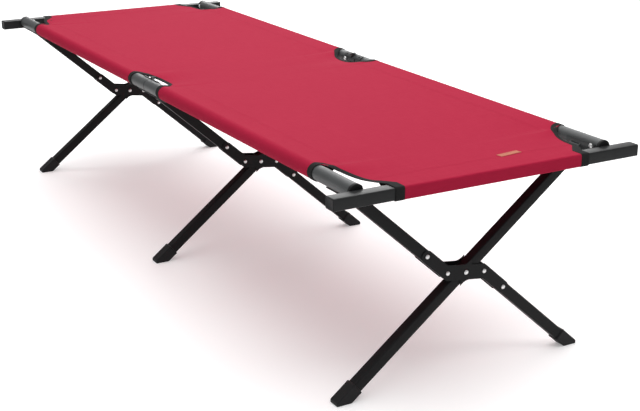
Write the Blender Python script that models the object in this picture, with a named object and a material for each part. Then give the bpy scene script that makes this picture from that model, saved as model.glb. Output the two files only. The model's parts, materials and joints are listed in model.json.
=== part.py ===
"""A folding camp cot with three X leg frames, hinged side rails, end spreader bars and a stretched canvas.

+X points from the head end to the foot end, +Y across the cot to its right side, and +Z up. The origin is on
the floor under the middle of the cot. Lengths are in metres.
"""

import math

import bmesh
import bpy
from mathutils import Matrix, Vector

# Overall proportions.
LENGTH = 2.10
RAIL_Y = 0.314
RAIL_Z = 0.487
GAP = 0.0003
HOLE_SIDES = 8
PIN_SIDES = 8
EMPTY_SIZE = 0.03
SHARP_ANGLE = math.radians(40)

# Side rails: round tubes, in two halves that meet at the middle of the cot.
RAIL_RADIUS = 0.0165
RAIL_WALL = 0.0015
RAIL_SIDES = 24
SEAM = 0.0006

# End spreader bars: flat tubes across the ends, which sit on a pin at each rail's end.
BAR_THICK = 0.030
BAR_HIGH = 0.026
BAR_LENGTH = 0.768
BAR_WALL = 0.0015
BAR_Z = 0.4796
BAR_CORNER = 0.003
BAR_X = (LENGTH - BAR_THICK) / 2
BAR_INNER_X = LENGTH / 2 - BAR_THICK
PIN_Z = 0.483
PIN_RADIUS = 0.004
PIN_IN_BAR = 0.004
PIN_SLOT = 0.0065
PIN_LEAD = 0.001
SLOT_DEPTH = (-0.005, 0.006)

# End plugs: a spigot in the rail's bore, a flange as wide as the rail, and the pin.
PLUG_DEPTH = 0.012
FLANGE = 0.0027
END_CLEAR = 0.001
RAIL_END_X = BAR_INNER_X - END_CLEAR - FLANGE - GAP

# Leg frames: each crosses the cot in its own plane, and folds about its centre.
FRAME_X = {"head": -0.948, "mid": 0.0, "foot": 0.948}
CENTRE_Z = 0.2405
LEG = 0.025
LEG_WALL = 0.0015
LEG_CORNER = 0.003
SPLIT_ANGLE = math.radians(41.6)
SPLIT_OFFSET = 0.0273
SPLIT_END = 0.024
LONG_ANGLE = math.atan2(RAIL_Z - CENTRE_Z, RAIL_Y)
TOP_Y = 0.276
TOP_Z = 0.453
TOP_BEYOND = 0.0135

# Joint plates: one on each face of a leg frame, riveted to both halves of the split leg.
PLATE_THICK = 0.002
PLATE_NEAR = (-0.0483, 0.0064)
PLATE_FAR = (-0.1022, 0.0543)
PLATE_ARM = 0.0138
PLATE_WAIST = 0.0172
WING_START = -0.0085
WING_TIP = (0.0140, 0.0290)
WING_BEND = (0.0040, 0.0185)
WING_FOOT = 0.0150
RIVET_RADIUS = 0.003
RIVET_HEAD = 0.005
RIVET_HIGH = 0.0024
CENTRE_RADIUS = 0.0035
CENTRE_HEAD = 0.0055
CENTRE_HIGH = 0.0026

# Brackets: a saddle under each rail, with two ears that hold a leg's top on a pin.
SADDLE_RADIUS = RAIL_RADIUS + GAP
SADDLE_THICK = 0.003
SADDLE_TOP = 22
SADDLE_BOTTOM = -118
EAR_THICK = 0.0025
EAR_CLEAR = 0.0135
EAR_RADIUS = 0.013
EAR_RAIL_RADIUS = 0.0178
EAR_TOP = 2
EAR_INSET = 0.0005
WEB_NEAR = 0.0015
WEB_THICK = 0.003
WEB_HALF = 0.013
TOP_PIN_RADIUS = 0.004
TOP_PIN_HEAD = 0.0065
TOP_PIN_HIGH = 0.0027
BOLT_RADIUS = 0.003
BOLT_HEAD = 0.0055
HEAD_TAPER = 0.001
BOLT_HIGH = 0.004
BOLT_Z = RAIL_Z + 0.003
BOLT_DEPTH = 0.010
BOLT_BORE = (0.025, 0.008)

# Saddle ends and bolt, measured along X from the leg frame's plane; the end saddles reach towards the bars.
END_SADDLE = (-0.030, 0.062)
END_BOLT = 0.051
MID_SADDLE = (-0.052, -0.0008)
MID_BOLT = -0.029

# Mid-rail hinges: a curved leaf on each half's upper inner side, and a pin across the seam.
HINGE_Z = 0.5065
LEAF_THICK = 0.002
LEAF_X = (0.0048, 0.042)
LEAF_ANGLES = (28, 78)
KNUCKLE_RADIUS = 0.0034
KNUCKLE_Y = {"head": (0.2985, 0.3030), "foot": (0.3033, 0.3078)}
LUG_LOW = {"head": 0.4999, "foot": 0.5027}
LUG_TOP = HINGE_Z + 0.001
LUG_X = (0.007, 0.012)
HINGE_PIN_RADIUS = 0.0014
HINGE_PIN_Y = (0.2965, 0.3095)
HINGE_PIN_HEAD = 0.0024
HINGE_PIN_HIGH = 0.0015
HINGE_BORE = (0.29, 0.315)

# Feet: caps over the legs' lower ends, with flat soles.
FOOT_HALF = 0.0145
FOOT_HALF_X = 0.015
FOOT_REACH = 0.013
FOOT_COLLAR = 0.050
LEG_SHORT = 0.026
POCKET_OVER = 0.01
HOLE_REACH = 0.03

# Canvas: a deck at the rails' tops, a sleeve round each rail and a hem round each bar.
CLOTH = 0.0013
DECK_TOP = 0.5053
SLEEVE_RADIUS = 0.0185
SLEEVE_BORE = 0.0169
SLEEVE_X = (0.083, 0.874)
DECK_END = 0.988
HEM_HALF_Y = 0.234
HEM_GAP = 0.0004
HEM_CORNER = 0.004
SLOPE_START = DECK_END - 0.006
SLOPE_END = BAR_INNER_X + 0.004
SLOPE_SINK = 0.0001
BORE_OVER = 0.01
MID_CUT = [(SEAM, 0.272), (0.045, 0.274), (0.074, 0.283), (SLEEVE_X[0], 0.300)]
CORNER_CUT = [(SLEEVE_X[1], 0.300), (0.884, 0.288), (0.935, 0.274), (DECK_END, 0.254)]

SIDES = {"left": -1, "right": 1}
ENDS = {"head": -1, "foot": 1}

# Local axes for an outline drawn in the named plane and pushed along the third axis.
YZ = Matrix(((0, 0, 1, 0), (1, 0, 0, 0), (0, 1, 0, 0), (0, 0, 0, 1)))
ZX = Matrix(((0, 1, 0, 0), (0, 0, 1, 0), (1, 0, 0, 0), (0, 0, 0, 1)))
XY = Matrix.Identity(4)


def material(name, colour, roughness, metallic):
    made = bpy.data.materials.new(name)
    made.use_nodes = True
    shader = made.node_tree.nodes["Principled BSDF"]
    shader.inputs["Base Color"].default_value = (*colour, 1)
    shader.inputs["Roughness"].default_value = roughness
    shader.inputs["Metallic"].default_value = metallic
    return made


def arc(centre, radius, start, end, steps):
    """Points on a circle, from one angle to another in degrees."""
    angles = [math.radians(start + (end - start) * i / steps) for i in range(steps + 1)]
    return [(centre[0] + radius * math.cos(a), centre[1] + radius * math.sin(a)) for a in angles]


def circle(centre, radius, sides):
    return arc(centre, radius, 0, 360, sides)[:-1]


def rounded_rectangle(centre, width, height, radius, steps=2):
    corners = [(1, 1, 0), (-1, 1, 90), (-1, -1, 180), (1, -1, 270)]
    points = []
    for sx, sy, start in corners:
        middle = (centre[0] + sx * (width / 2 - radius), centre[1] + sy * (height / 2 - radius))
        points += arc(middle, radius, start, start + 90, steps)
    return points


def bend(start, control, end, steps):
    """Points of a quadratic curve, without its first point."""
    points = []
    for i in range(1, steps + 1):
        t = i / steps
        weights = ((1 - t) ** 2, 2 * t * (1 - t), t * t)
        points.append(tuple(sum(w * p[k] for w, p in zip(weights, (start, control, end))) for k in (0, 1)))
    return points


def cross_point(point, direction, other, other_direction):
    """Where two lines of a plane meet."""
    scale = direction[0] * other_direction[1] - direction[1] * other_direction[0]
    gap = (other[0] - point[0], other[1] - point[1])
    t = (gap[0] * other_direction[1] - gap[1] * other_direction[0]) / scale
    return (point[0] + t * direction[0], point[1] + t * direction[1])


def ring_verts(mesh, outline, level, matrix):
    return [mesh.verts.new(matrix @ Vector((*point, level))) for point in outline]


def side_faces(mesh, low, high):
    for i in range(len(low)):
        j = (i + 1) % len(low)
        mesh.faces.new((low[i], low[j], high[j], high[i]))


def add_solid(mesh, outline, low, high, matrix):
    """Adds an outline pushed from one level to another."""
    bottom = ring_verts(mesh, outline, low, matrix)
    top = ring_verts(mesh, outline, high, matrix)
    mesh.faces.new(bottom)
    mesh.faces.new(top)
    side_faces(mesh, bottom, top)


def solid(outline, low, high, matrix):
    mesh = bmesh.new()
    add_solid(mesh, outline, low, high, matrix)
    return mesh


def tube(outer, inner, low, high, matrix):
    """An open tube between two outlines with the same number of points."""
    mesh = bmesh.new()
    loops = [ring_verts(mesh, line, level, matrix) for line in (outer, inner) for level in (low, high)]
    outer_low, outer_high, inner_low, inner_high = loops
    side_faces(mesh, outer_low, outer_high)
    side_faces(mesh, inner_low, inner_high)
    side_faces(mesh, outer_low, inner_low)
    side_faces(mesh, outer_high, inner_high)
    return mesh


def stack(centre, levels, matrix, sides):
    """A turned solid from (level, radius) pairs along its axis."""
    mesh = bmesh.new()
    loops = [ring_verts(mesh, circle(centre, radius, sides), level, matrix) for level, radius in levels]
    for low, high in zip(loops, loops[1:]):
        side_faces(mesh, low, high)
    mesh.faces.new(loops[0])
    mesh.faces.new(loops[-1])
    return mesh


def finish_mesh(name, mesh, origin):
    bmesh.ops.translate(mesh, verts=mesh.verts, vec=-Vector(origin))
    bmesh.ops.recalc_face_normals(mesh, faces=mesh.faces)
    data = bpy.data.meshes.new(name)
    mesh.to_mesh(data)
    mesh.free()
    data.shade_smooth()
    data.set_sharp_from_angle(angle=SHARP_ANGLE)
    return data


def piece(name, mesh, parent, finish):
    """A sub-part, with its origin on its parent's pivot."""
    data = finish_mesh(name, mesh, parent.matrix_world.translation)
    made = bpy.data.objects.new(name, data)
    made.parent = parent
    data.materials.append(finish)
    bpy.context.scene.collection.objects.link(made)
    return made


def helper(target, mesh, operation):
    """Joins a shape to a sub-part, or cuts it away, with a Boolean modifier."""
    name = f"{target.name}.{operation.lower()}{len(target.modifiers)}"
    made = bpy.data.objects.new(name, finish_mesh(name, mesh, target.parent.matrix_world.translation))
    made.parent = target.parent
    made.hide_render = True
    made.display_type = "WIRE"
    bpy.context.scene.collection.objects.link(made)
    modifier = target.modifiers.new(name, "BOOLEAN")
    modifier.object = made
    modifier.operation = operation


def pivot(name, place, parent=None):
    """An empty at a joint, which its body's sub-parts hang on."""
    made = bpy.data.objects.new(name, None)
    made.empty_display_size = EMPTY_SIZE
    made.parent = parent
    made.location = Vector(place) - (parent.matrix_world.translation if parent else Vector((0, 0, 0)))
    bpy.context.scene.collection.objects.link(made)
    bpy.context.view_layer.update()
    return made


def drill(target, holes):
    """Cuts round holes: (centre, radius, low, high, matrix, sides) each."""
    mesh = bmesh.new()
    for centre, radius, low, high, matrix, sides in holes:
        add_solid(mesh, circle(centre, radius, sides), low, high, matrix)
    helper(target, mesh, "DIFFERENCE")


def rail(side, end, parent):
    y = SIDES[side] * RAIL_Y
    sign = ENDS[end]
    outer = circle((y, RAIL_Z), RAIL_RADIUS, RAIL_SIDES)
    inner = circle((y, RAIL_Z), RAIL_RADIUS - RAIL_WALL, RAIL_SIDES)
    mesh = tube(outer, inner, sign * SEAM, sign * RAIL_END_X, YZ)
    made = piece(f"rail_{side}_{end}", mesh, parent, DARK_STEEL)
    places = [sign * (FRAME_X["foot"] + END_BOLT)]
    if end == "head":
        places.append(MID_BOLT)
    low, high = sorted(SIDES[side] * (RAIL_Y - inward) for inward in BOLT_BORE)
    drill(made, [((BOLT_Z, x), BOLT_RADIUS + GAP, low, high, ZX, HOLE_SIDES) for x in places])


def rail_plug(side, end, parent):
    y = SIDES[side] * RAIL_Y
    sign = ENDS[end]
    spigot = RAIL_RADIUS - RAIL_WALL - GAP
    flange_x = RAIL_END_X + GAP
    levels = [(RAIL_END_X - PLUG_DEPTH, spigot), (flange_x, spigot), (flange_x, RAIL_RADIUS)]
    levels.append((flange_x + FLANGE, RAIL_RADIUS))
    turned = stack((y, RAIL_Z), [(sign * x, radius) for x, radius in levels], YZ, RAIL_SIDES)
    made = piece(f"rail_plug_{side}_{end}", turned, parent, BLACK_PLASTIC)
    pin_end = BAR_INNER_X + PIN_IN_BAR
    levels = [(flange_x, PIN_RADIUS), (pin_end - PIN_LEAD, PIN_RADIUS), (pin_end, PIN_RADIUS - PIN_LEAD)]
    helper(made, stack((y, PIN_Z), [(sign * x, radius) for x, radius in levels], YZ, PIN_SIDES), "UNION")


def hinge_leaf(side, end, parent):
    s = SIDES[side]
    sign = ENDS[end]
    centre = (s * RAIL_Y, RAIL_Z)
    angles = LEAF_ANGLES if side == "left" else [180 - a for a in LEAF_ANGLES]
    inner = arc(centre, RAIL_RADIUS + GAP, angles[0], angles[1], 4)
    outer = arc(centre, RAIL_RADIUS + GAP + LEAF_THICK, angles[1], angles[0], 4)
    low, high = [sign * x for x in LEAF_X]
    made = piece(f"hinge_leaf_{side}_{end}", solid(inner + outer, low, high, YZ), parent, BLACK_STEEL)
    near, far = [s * y for y in KNUCKLE_Y[end]]
    lug = [(LUG_LOW[end], 0), (LUG_TOP, 0), (LUG_TOP, sign * LUG_X[0]), (LUG_LOW[end], sign * LUG_X[1])]
    helper(made, solid(lug, near, far, ZX), "UNION")
    helper(made, solid(circle((HINGE_Z, 0), KNUCKLE_RADIUS, 12), near, far, ZX), "UNION")
    reach = sorted(s * y for y in HINGE_BORE)
    drill(made, [((HINGE_Z, 0), HINGE_PIN_RADIUS + GAP, *reach, ZX, HOLE_SIDES)])


def hinge_pin(side, parent):
    s = SIDES[side]
    start, end = HINGE_PIN_Y
    levels = [(start - HINGE_PIN_HIGH, HINGE_PIN_HEAD), (start, HINGE_PIN_HEAD), (start, HINGE_PIN_RADIUS)]
    levels.append((end, HINGE_PIN_RADIUS))
    turned = stack((HINGE_Z, 0), [(s * y, radius) for y, radius in levels], ZX, PIN_SIDES)
    piece(f"hinge_pin_{side}", turned, parent, BRIGHT_STEEL)


def spreader_bar(end, parent):
    x = ENDS[end] * BAR_X
    inner_x = ENDS[end] * BAR_INNER_X
    outer = rounded_rectangle((BAR_Z, x), BAR_HIGH, BAR_THICK, BAR_CORNER)
    wall = 2 * BAR_WALL
    inner = rounded_rectangle((BAR_Z, x), BAR_HIGH - wall, BAR_THICK - wall, BAR_CORNER - BAR_WALL)
    bar = tube(outer, inner, -BAR_LENGTH / 2, BAR_LENGTH / 2, ZX)
    made = piece(f"spreader_bar_{end}", bar, parent, DARK_STEEL)
    low, high = sorted(inner_x + ENDS[end] * depth for depth in SLOT_DEPTH)
    slots = bmesh.new()
    radius = PIN_RADIUS + GAP
    for s in SIDES.values():
        centre = (s * RAIL_Y, PIN_Z)
        inward = (s * (RAIL_Y - PIN_SLOT), PIN_Z)
        first, second = (inward, centre) if s > 0 else (centre, inward)
        add_solid(slots, arc(first, radius, 90, 270, 6) + arc(second, radius, -90, 90, 6), low, high, YZ)
    helper(made, slots, "DIFFERENCE")


def saddle_range(frame):
    """Low and high X of a frame's saddles, and the X of their bolts."""
    plane = FRAME_X[frame]
    if frame == "mid":
        return plane + MID_SADDLE[0], plane + MID_SADDLE[1], plane + MID_BOLT
    sign = ENDS[frame]
    low, high = sorted(plane + sign * x for x in END_SADDLE)
    return low, high, plane + sign * END_BOLT


def ear_outline(s):
    """One ear, from the rail's underside to a round end about the leg's top pin."""
    across = RAIL_Y - TOP_Y
    fall = TOP_Z - RAIL_Z
    towards = math.degrees(math.atan2(fall, across))
    spread = SADDLE_RADIUS + SADDLE_THICK - EAR_RADIUS
    tangent = math.degrees(math.acos(spread / math.hypot(across, fall)))
    points = arc((0, 0), EAR_RAIL_RADIUS, EAR_TOP, SADDLE_BOTTOM + 6, 5)
    points += arc((0, 0), SADDLE_RADIUS + SADDLE_THICK - EAR_INSET, SADDLE_BOTTOM + 2, towards - tangent, 1)
    points += arc((across, fall), EAR_RADIUS, towards - tangent, towards + tangent, 7)
    return [(s * (RAIL_Y - y), RAIL_Z + z) for y, z in points]


def bracket_web(s):
    """The plate that joins the two ears, square to the line from rail to pin."""
    across = Vector((RAIL_Y - TOP_Y, TOP_Z - RAIL_Z)).normalized()
    along = Vector((-across.y, across.x))
    near = SADDLE_RADIUS + WEB_NEAR
    far = near + WEB_THICK
    corners = [(near, -1), (near, 1), (far, 1), (far, -1)]
    points = [across * a + along * b * WEB_HALF for a, b in corners]
    return [(s * (RAIL_Y - p.x), RAIL_Z + p.y) for p in points]


def leg_bracket(side, frame, parent):
    s = SIDES[side]
    plane = FRAME_X[frame]
    low, high, bolt = saddle_range(frame)
    outer = SADDLE_RADIUS + SADDLE_THICK
    points = arc((0, 0), SADDLE_RADIUS, SADDLE_TOP, SADDLE_BOTTOM, 9)
    points += arc((0, 0), outer, SADDLE_BOTTOM, SADDLE_TOP, 9)
    points = [(s * (RAIL_Y - y), RAIL_Z + z) for y, z in points]
    made = piece(f"leg_bracket_{side}_{frame}", solid(points, low, high, YZ), parent, BLACK_STEEL)
    for sign in (-1, 1):
        faces = sorted((plane + sign * EAR_CLEAR, plane + sign * (EAR_CLEAR + EAR_THICK)))
        helper(made, solid(ear_outline(s), *faces, YZ), "UNION")
    reach = EAR_CLEAR + EAR_THICK / 2
    helper(made, solid(bracket_web(s), plane - reach, plane + reach, YZ), "UNION")
    inward = sorted(s * (RAIL_Y - reach) for reach in BOLT_BORE)
    pin_hole = hole(s * TOP_Y, TOP_Z, TOP_PIN_RADIUS, plane)
    drill(made, [pin_hole, ((BOLT_Z, bolt), BOLT_RADIUS + GAP, *inward, ZX, HOLE_SIDES)])


def bracket_bolt(side, frame, parent):
    """A bolt through the saddle's inner side into the rail, with a hexagonal washer head."""
    s = SIDES[side]
    bolt = saddle_range(frame)[2]
    face = RAIL_Y - SADDLE_RADIUS - SADDLE_THICK - GAP
    levels = [(face - BOLT_HIGH, BOLT_HEAD - HEAD_TAPER), (face, BOLT_HEAD)]
    levels += [(face, BOLT_RADIUS), (face + BOLT_DEPTH, BOLT_RADIUS)]
    turned = stack((BOLT_Z, bolt), [(s * y, radius) for y, radius in levels], ZX, PIN_SIDES)
    piece(f"bracket_bolt_{side}_{frame}", turned, parent, BRIGHT_STEEL)


def two_headed_pin(name, centre, plane, sizes, parent, finish):
    """A pin along X with a head outside each face, from its radius, head radius, reach and head height."""
    radius, head, inside, high = sizes
    outside = inside + high
    levels = [(-outside, head - HEAD_TAPER), (-inside, head), (-inside, radius)]
    levels += [(-x, r) for x, r in reversed(levels)]
    turned = stack(centre, [(plane + x, r) for x, r in levels], YZ, PIN_SIDES)
    piece(name, turned, parent, finish)


def leg_axes(point, angle, direction):
    """Local axes of a leg: its length along Z, and the cot's length along X."""
    along = Vector((0, direction * math.cos(angle), -math.sin(angle)))
    across = Vector((0, along.z, -along.y))
    columns = (Vector((1, 0, 0)), across, along)
    return Matrix([[*(column[row] for column in columns), point[row]] for row in range(3)] + [[0, 0, 0, 1]])


def leg_tube(low, high, matrix):
    outer = rounded_rectangle((0, 0), LEG, LEG, LEG_CORNER)
    inner = rounded_rectangle((0, 0), LEG - 2 * LEG_WALL, LEG - 2 * LEG_WALL, LEG_CORNER - LEG_WALL)
    return tube(outer, inner, low, high, matrix)


def split_leg_axes(frame, half):
    """Axes of one half of the split leg: the upper half lies below the centre line, the lower half above."""
    sign = {"upper": -1, "lower": 1}[half]
    y = sign * SPLIT_OFFSET * math.sin(SPLIT_ANGLE)
    z = CENTRE_Z + sign * SPLIT_OFFSET * math.cos(SPLIT_ANGLE)
    return leg_axes((FRAME_X[frame], y, z), SPLIT_ANGLE, 1)


def hole(y, z, radius, plane):
    return ((y, z), radius + 2 * GAP, plane - HOLE_REACH, plane + HOLE_REACH, YZ, HOLE_SIDES)


def rivet_places(half):
    sign = {"upper": 1, "lower": -1}[half]
    return [(sign * y, CENTRE_Z + sign * z) for y, z in (PLATE_NEAR, PLATE_FAR)]


def upper_leg(frame, parent):
    plane = FRAME_X[frame]
    top = math.cos(SPLIT_ANGLE) * TOP_Y + math.sin(SPLIT_ANGLE) * (TOP_Z - CENTRE_Z)
    mesh = leg_tube(-top - TOP_BEYOND, -SPLIT_END, split_leg_axes(frame, "upper"))
    made = piece(f"leg_upper_{frame}", mesh, parent, BLACK_STEEL)
    holes = [hole(*place, RIVET_RADIUS, plane) for place in rivet_places("upper")]
    drill(made, [*holes, hole(-TOP_Y, TOP_Z, TOP_PIN_RADIUS, plane)])


def lower_leg(frame, parent):
    plane = FRAME_X[frame]
    floor = (CENTRE_Z + SPLIT_OFFSET * math.cos(SPLIT_ANGLE)) / math.sin(SPLIT_ANGLE)
    mesh = leg_tube(SPLIT_END, floor - LEG_SHORT, split_leg_axes(frame, "lower"))
    made = piece(f"leg_lower_{frame}", mesh, parent, BLACK_STEEL)
    drill(made, [hole(*place, RIVET_RADIUS, plane) for place in rivet_places("lower")])
    return split_leg_axes(frame, "lower"), floor


def long_leg(frame, parent):
    plane = FRAME_X[frame]
    axes = leg_axes((plane, 0, CENTRE_Z), LONG_ANGLE, -1)
    top = math.cos(LONG_ANGLE) * TOP_Y + math.sin(LONG_ANGLE) * (TOP_Z - CENTRE_Z)
    floor = CENTRE_Z / math.sin(LONG_ANGLE)
    mesh = leg_tube(-top - TOP_BEYOND, floor - LEG_SHORT, axes)
    made = piece(f"leg_long_{frame}", mesh, parent, BLACK_STEEL)
    drill(made, [hole(0, CENTRE_Z, CENTRE_RADIUS, plane), hole(TOP_Y, TOP_Z, TOP_PIN_RADIUS, plane)])
    return axes, floor


def foot(side, frame, axes, floor, angle, parent):
    """A cap over a leg's lower end, cut flat on the floor and upright on its outer side."""
    s = SIDES[side]
    plane = FRAME_X[frame]
    y = (axes @ Vector((0, 0, floor))).y
    along = (s * math.cos(angle), -math.sin(angle))
    across = (s * math.sin(angle), math.cos(angle))
    over = (y + FOOT_HALF * across[0], FOOT_HALF * across[1])
    outer = cross_point(over, along, (y + s * FOOT_REACH, 0), (0, 1))
    collar = [(y + k * FOOT_HALF * across[0] - FOOT_COLLAR * along[0],
               k * FOOT_HALF * across[1] - FOOT_COLLAR * along[1]) for k in (1, -1)]
    inner = (y - s * FOOT_HALF / math.sin(angle), 0)
    outline = [(y + s * FOOT_REACH, 0), outer, *collar, inner]
    mesh = solid(outline, plane - FOOT_HALF_X, plane + FOOT_HALF_X, YZ)
    made = piece(f"foot_{side}_{frame}", mesh, parent, BLACK_PLASTIC)
    pocket = rounded_rectangle((0, 0), LEG + 2 * GAP, LEG + 2 * GAP, LEG_CORNER)
    low, high = floor - FOOT_COLLAR - POCKET_OVER, floor - LEG_SHORT + GAP
    helper(made, solid(pocket, low, high, axes), "DIFFERENCE")


def plate_outline():
    """Half of the joint plate's edge: a waist across the centre, an arm along each leg half, and a wing."""
    along = (math.cos(SPLIT_ANGLE), -math.sin(SPLIT_ANGLE))
    across = (math.sin(SPLIT_ANGLE), math.cos(SPLIT_ANGLE))
    waist = Vector((-PLATE_NEAR[0], -PLATE_NEAR[1])).normalized()
    over = (-waist.y * PLATE_WAIST, waist.x * PLATE_WAIST)
    upper_arm = (PLATE_FAR[0] + across[0] * PLATE_ARM, PLATE_FAR[1] + across[1] * PLATE_ARM)
    lower_arm = (-PLATE_FAR[0] + across[0] * PLATE_ARM, -PLATE_FAR[1] + across[1] * PLATE_ARM)
    slope = over[1] + waist.y / waist.x * (WING_START - over[0])
    rise = over[1] + waist.y / waist.x * (WING_FOOT - over[0])
    turn = math.degrees(SPLIT_ANGLE)
    points = [cross_point(upper_arm, along, over, waist), (WING_START, slope)]
    points += bend((WING_START, slope), WING_BEND, WING_TIP, 4)
    points += [(WING_FOOT, rise), cross_point(lower_arm, along, over, waist)]
    points += arc((-PLATE_FAR[0], -PLATE_FAR[1]), PLATE_ARM, 90 - turn, -90 - turn, 6)
    return points


def joint_plate(face, frame, parent):
    plane = FRAME_X[frame]
    sign = {"front": 1, "rear": -1}[face]
    half = plate_outline()
    outline = [(y, CENTRE_Z + z) for y, z in half + [(-y, -z) for y, z in half]]
    inside = plane + sign * (LEG / 2 + GAP)
    mesh = solid(outline, inside, inside + sign * PLATE_THICK, YZ)
    made = piece(f"joint_plate_{face}_{frame}", mesh, parent, BLACK_STEEL)
    places = rivet_places("upper") + rivet_places("lower")
    holes = [hole(0, CENTRE_Z, CENTRE_RADIUS, plane)]
    if face == "rear":
        holes += [hole(*place, RIVET_RADIUS, plane) for place in places]
    drill(made, holes)
    if face == "rear":
        return
    rear = -LEG / 2 - 2 * GAP - PLATE_THICK
    front = LEG / 2 + GAP + PLATE_THICK
    middle = front - PLATE_THICK / 2
    levels = [(rear - RIVET_HIGH, RIVET_HEAD - HEAD_TAPER), (rear, RIVET_HEAD), (rear, RIVET_RADIUS)]
    levels += [(middle, RIVET_RADIUS), (middle, RIVET_HEAD), (front + RIVET_HIGH, RIVET_HEAD - HEAD_TAPER)]
    for place in places:
        helper(made, stack(place, [(plane + x, radius) for x, radius in levels], YZ, PIN_SIDES), "UNION")


def canvas(end, parent):
    """One half of the canvas: the deck with its cut-outs, the slope to the hem, the hem and two sleeves."""
    sign = ENDS[end]
    edge = MID_CUT + [(SLEEVE_X[0], RAIL_Y), (SLEEVE_X[1], RAIL_Y)] + CORNER_CUT
    outline = [(sign * x, y) for x, y in edge] + [(sign * x, -y) for x, y in reversed(edge)]
    made = piece(f"canvas_{end}", solid(outline, DECK_TOP - CLOTH, DECK_TOP, XY), parent, CRIMSON_CLOTH)
    hole_size = (BAR_HIGH + 2 * HEM_GAP, BAR_THICK + 2 * HEM_GAP)
    centre = (BAR_Z, sign * BAR_X)
    outer = rounded_rectangle(centre, hole_size[0] + 2 * CLOTH, hole_size[1] + 2 * CLOTH, HEM_CORNER)
    inner = rounded_rectangle(centre, *hole_size, HEM_CORNER - CLOTH)
    helper(made, tube(outer, inner, -HEM_HALF_Y, HEM_HALF_Y, ZX), "UNION")
    hem_top = BAR_Z + hole_size[0] / 2 + CLOTH + GAP
    slope = [(DECK_TOP - SLOPE_SINK, sign * SLOPE_START), (hem_top, sign * SLOPE_END)]
    slope += [(z - CLOTH, x) for z, x in reversed(slope)]
    helper(made, solid(slope, -HEM_HALF_Y, HEM_HALF_Y, ZX), "UNION")
    bores = []
    for s in SIDES.values():
        low, high = [sign * x for x in SLEEVE_X]
        helper(made, solid(circle((s * RAIL_Y, RAIL_Z), SLEEVE_RADIUS, RAIL_SIDES), low, high, YZ), "UNION")
        reach = sorted((low - sign * BORE_OVER, high + sign * BORE_OVER))
        bores.append(((s * RAIL_Y, RAIL_Z), SLEEVE_BORE, *reach, YZ, RAIL_SIDES))
    drill(made, bores)


def leg_frame(frame, split_parent, long_parent):
    """The legs, feet, joint plates and centre rivet of one X."""
    plane = FRAME_X[frame]
    upper_leg(frame, split_parent)
    foot("right", frame, *lower_leg(frame, split_parent), SPLIT_ANGLE, split_parent)
    foot("left", frame, *long_leg(frame, long_parent), LONG_ANGLE, long_parent)
    for face in ("front", "rear"):
        joint_plate(face, frame, split_parent)
    inside = LEG / 2 + 2 * GAP + PLATE_THICK
    sizes = (CENTRE_RADIUS, CENTRE_HEAD, inside, CENTRE_HIGH)
    two_headed_pin(f"centre_rivet_{frame}", (0, CENTRE_Z), plane, sizes, split_parent, BRIGHT_STEEL)


def rail_fittings(side, frame, parent):
    """The bracket, its bolt and the leg's top pin, where a leg frame meets a rail."""
    leg_bracket(side, frame, parent)
    bracket_bolt(side, frame, parent)
    name = f"leg_pivot_pin_{side}_{frame}"
    centre = (SIDES[side] * TOP_Y, TOP_Z)
    sizes = (TOP_PIN_RADIUS, TOP_PIN_HEAD, EAR_CLEAR + EAR_THICK + GAP, TOP_PIN_HIGH)
    two_headed_pin(name, centre, FRAME_X[frame], sizes, parent, BLACK_STEEL)


def half_frame(side, end, parent):
    """One half of a side rail and all that is fixed to it."""
    rail(side, end, parent)
    rail_plug(side, end, parent)
    hinge_leaf(side, end, parent)
    rail_fittings(side, end, parent)
    if end == "head":
        rail_fittings(side, "mid", parent)
        hinge_pin(side, parent)


def cot():
    root = pivot("pivot_leg_a_mid", (FRAME_X["mid"], 0, 0))
    left_head = pivot("pivot_frame_left_head", (FRAME_X["mid"], -TOP_Y, TOP_Z), root)
    left_foot = pivot("pivot_frame_left_foot", (0, -RAIL_Y, HINGE_Z), left_head)
    long_mid = pivot("pivot_leg_b_mid", (FRAME_X["mid"], 0, CENTRE_Z), root)
    right_head = pivot("pivot_frame_right_head", (FRAME_X["mid"], TOP_Y, TOP_Z), long_mid)
    right_foot = pivot("pivot_frame_right_foot", (0, RAIL_Y, HINGE_Z), right_head)
    leg_frame("mid", root, long_mid)
    for end, parent in (("head", left_head), ("foot", left_foot)):
        split = pivot(f"pivot_leg_a_{end}", (FRAME_X[end], -TOP_Y, TOP_Z), parent)
        long = pivot(f"pivot_leg_b_{end}", (FRAME_X[end], 0, CENTRE_Z), split)
        leg_frame(end, split, long)
        half_frame("left", end, parent)
        spreader_bar(end, pivot(f"pivot_bar_{end}", (ENDS[end] * BAR_X, 0, BAR_Z), parent))
        canvas(end, parent)
    half_frame("right", "head", right_head)
    half_frame("right", "foot", right_foot)


for old in list(bpy.data.objects):
    bpy.data.objects.remove(old)

DARK_STEEL = material("dark_grey_steel", (0.055, 0.058, 0.060), 0.45, 0.3)
BLACK_STEEL = material("black_steel", (0.012, 0.012, 0.013), 0.5, 0.2)
BLACK_PLASTIC = material("black_plastic", (0.010, 0.010, 0.010), 0.6, 0.0)
BRIGHT_STEEL = material("bright_steel", (0.62, 0.62, 0.62), 0.3, 1.0)
CRIMSON_CLOTH = material("crimson_cloth", (0.60, 0.03, 0.08), 0.8, 0.0)

cot()
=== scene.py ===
"""The looks of a folding camp cot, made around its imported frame.

+X points to the foot end, +Y to the right side and +Z up. Lengths are in metres. Shapes are drawn for the
foot end and the right side and mirrored by a sign, and sizes come from the frame's own boxes wherever a node
gives them.
"""

import json
import math

import bmesh
import bpy
import numpy as np
from mathutils import Matrix, Vector


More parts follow.
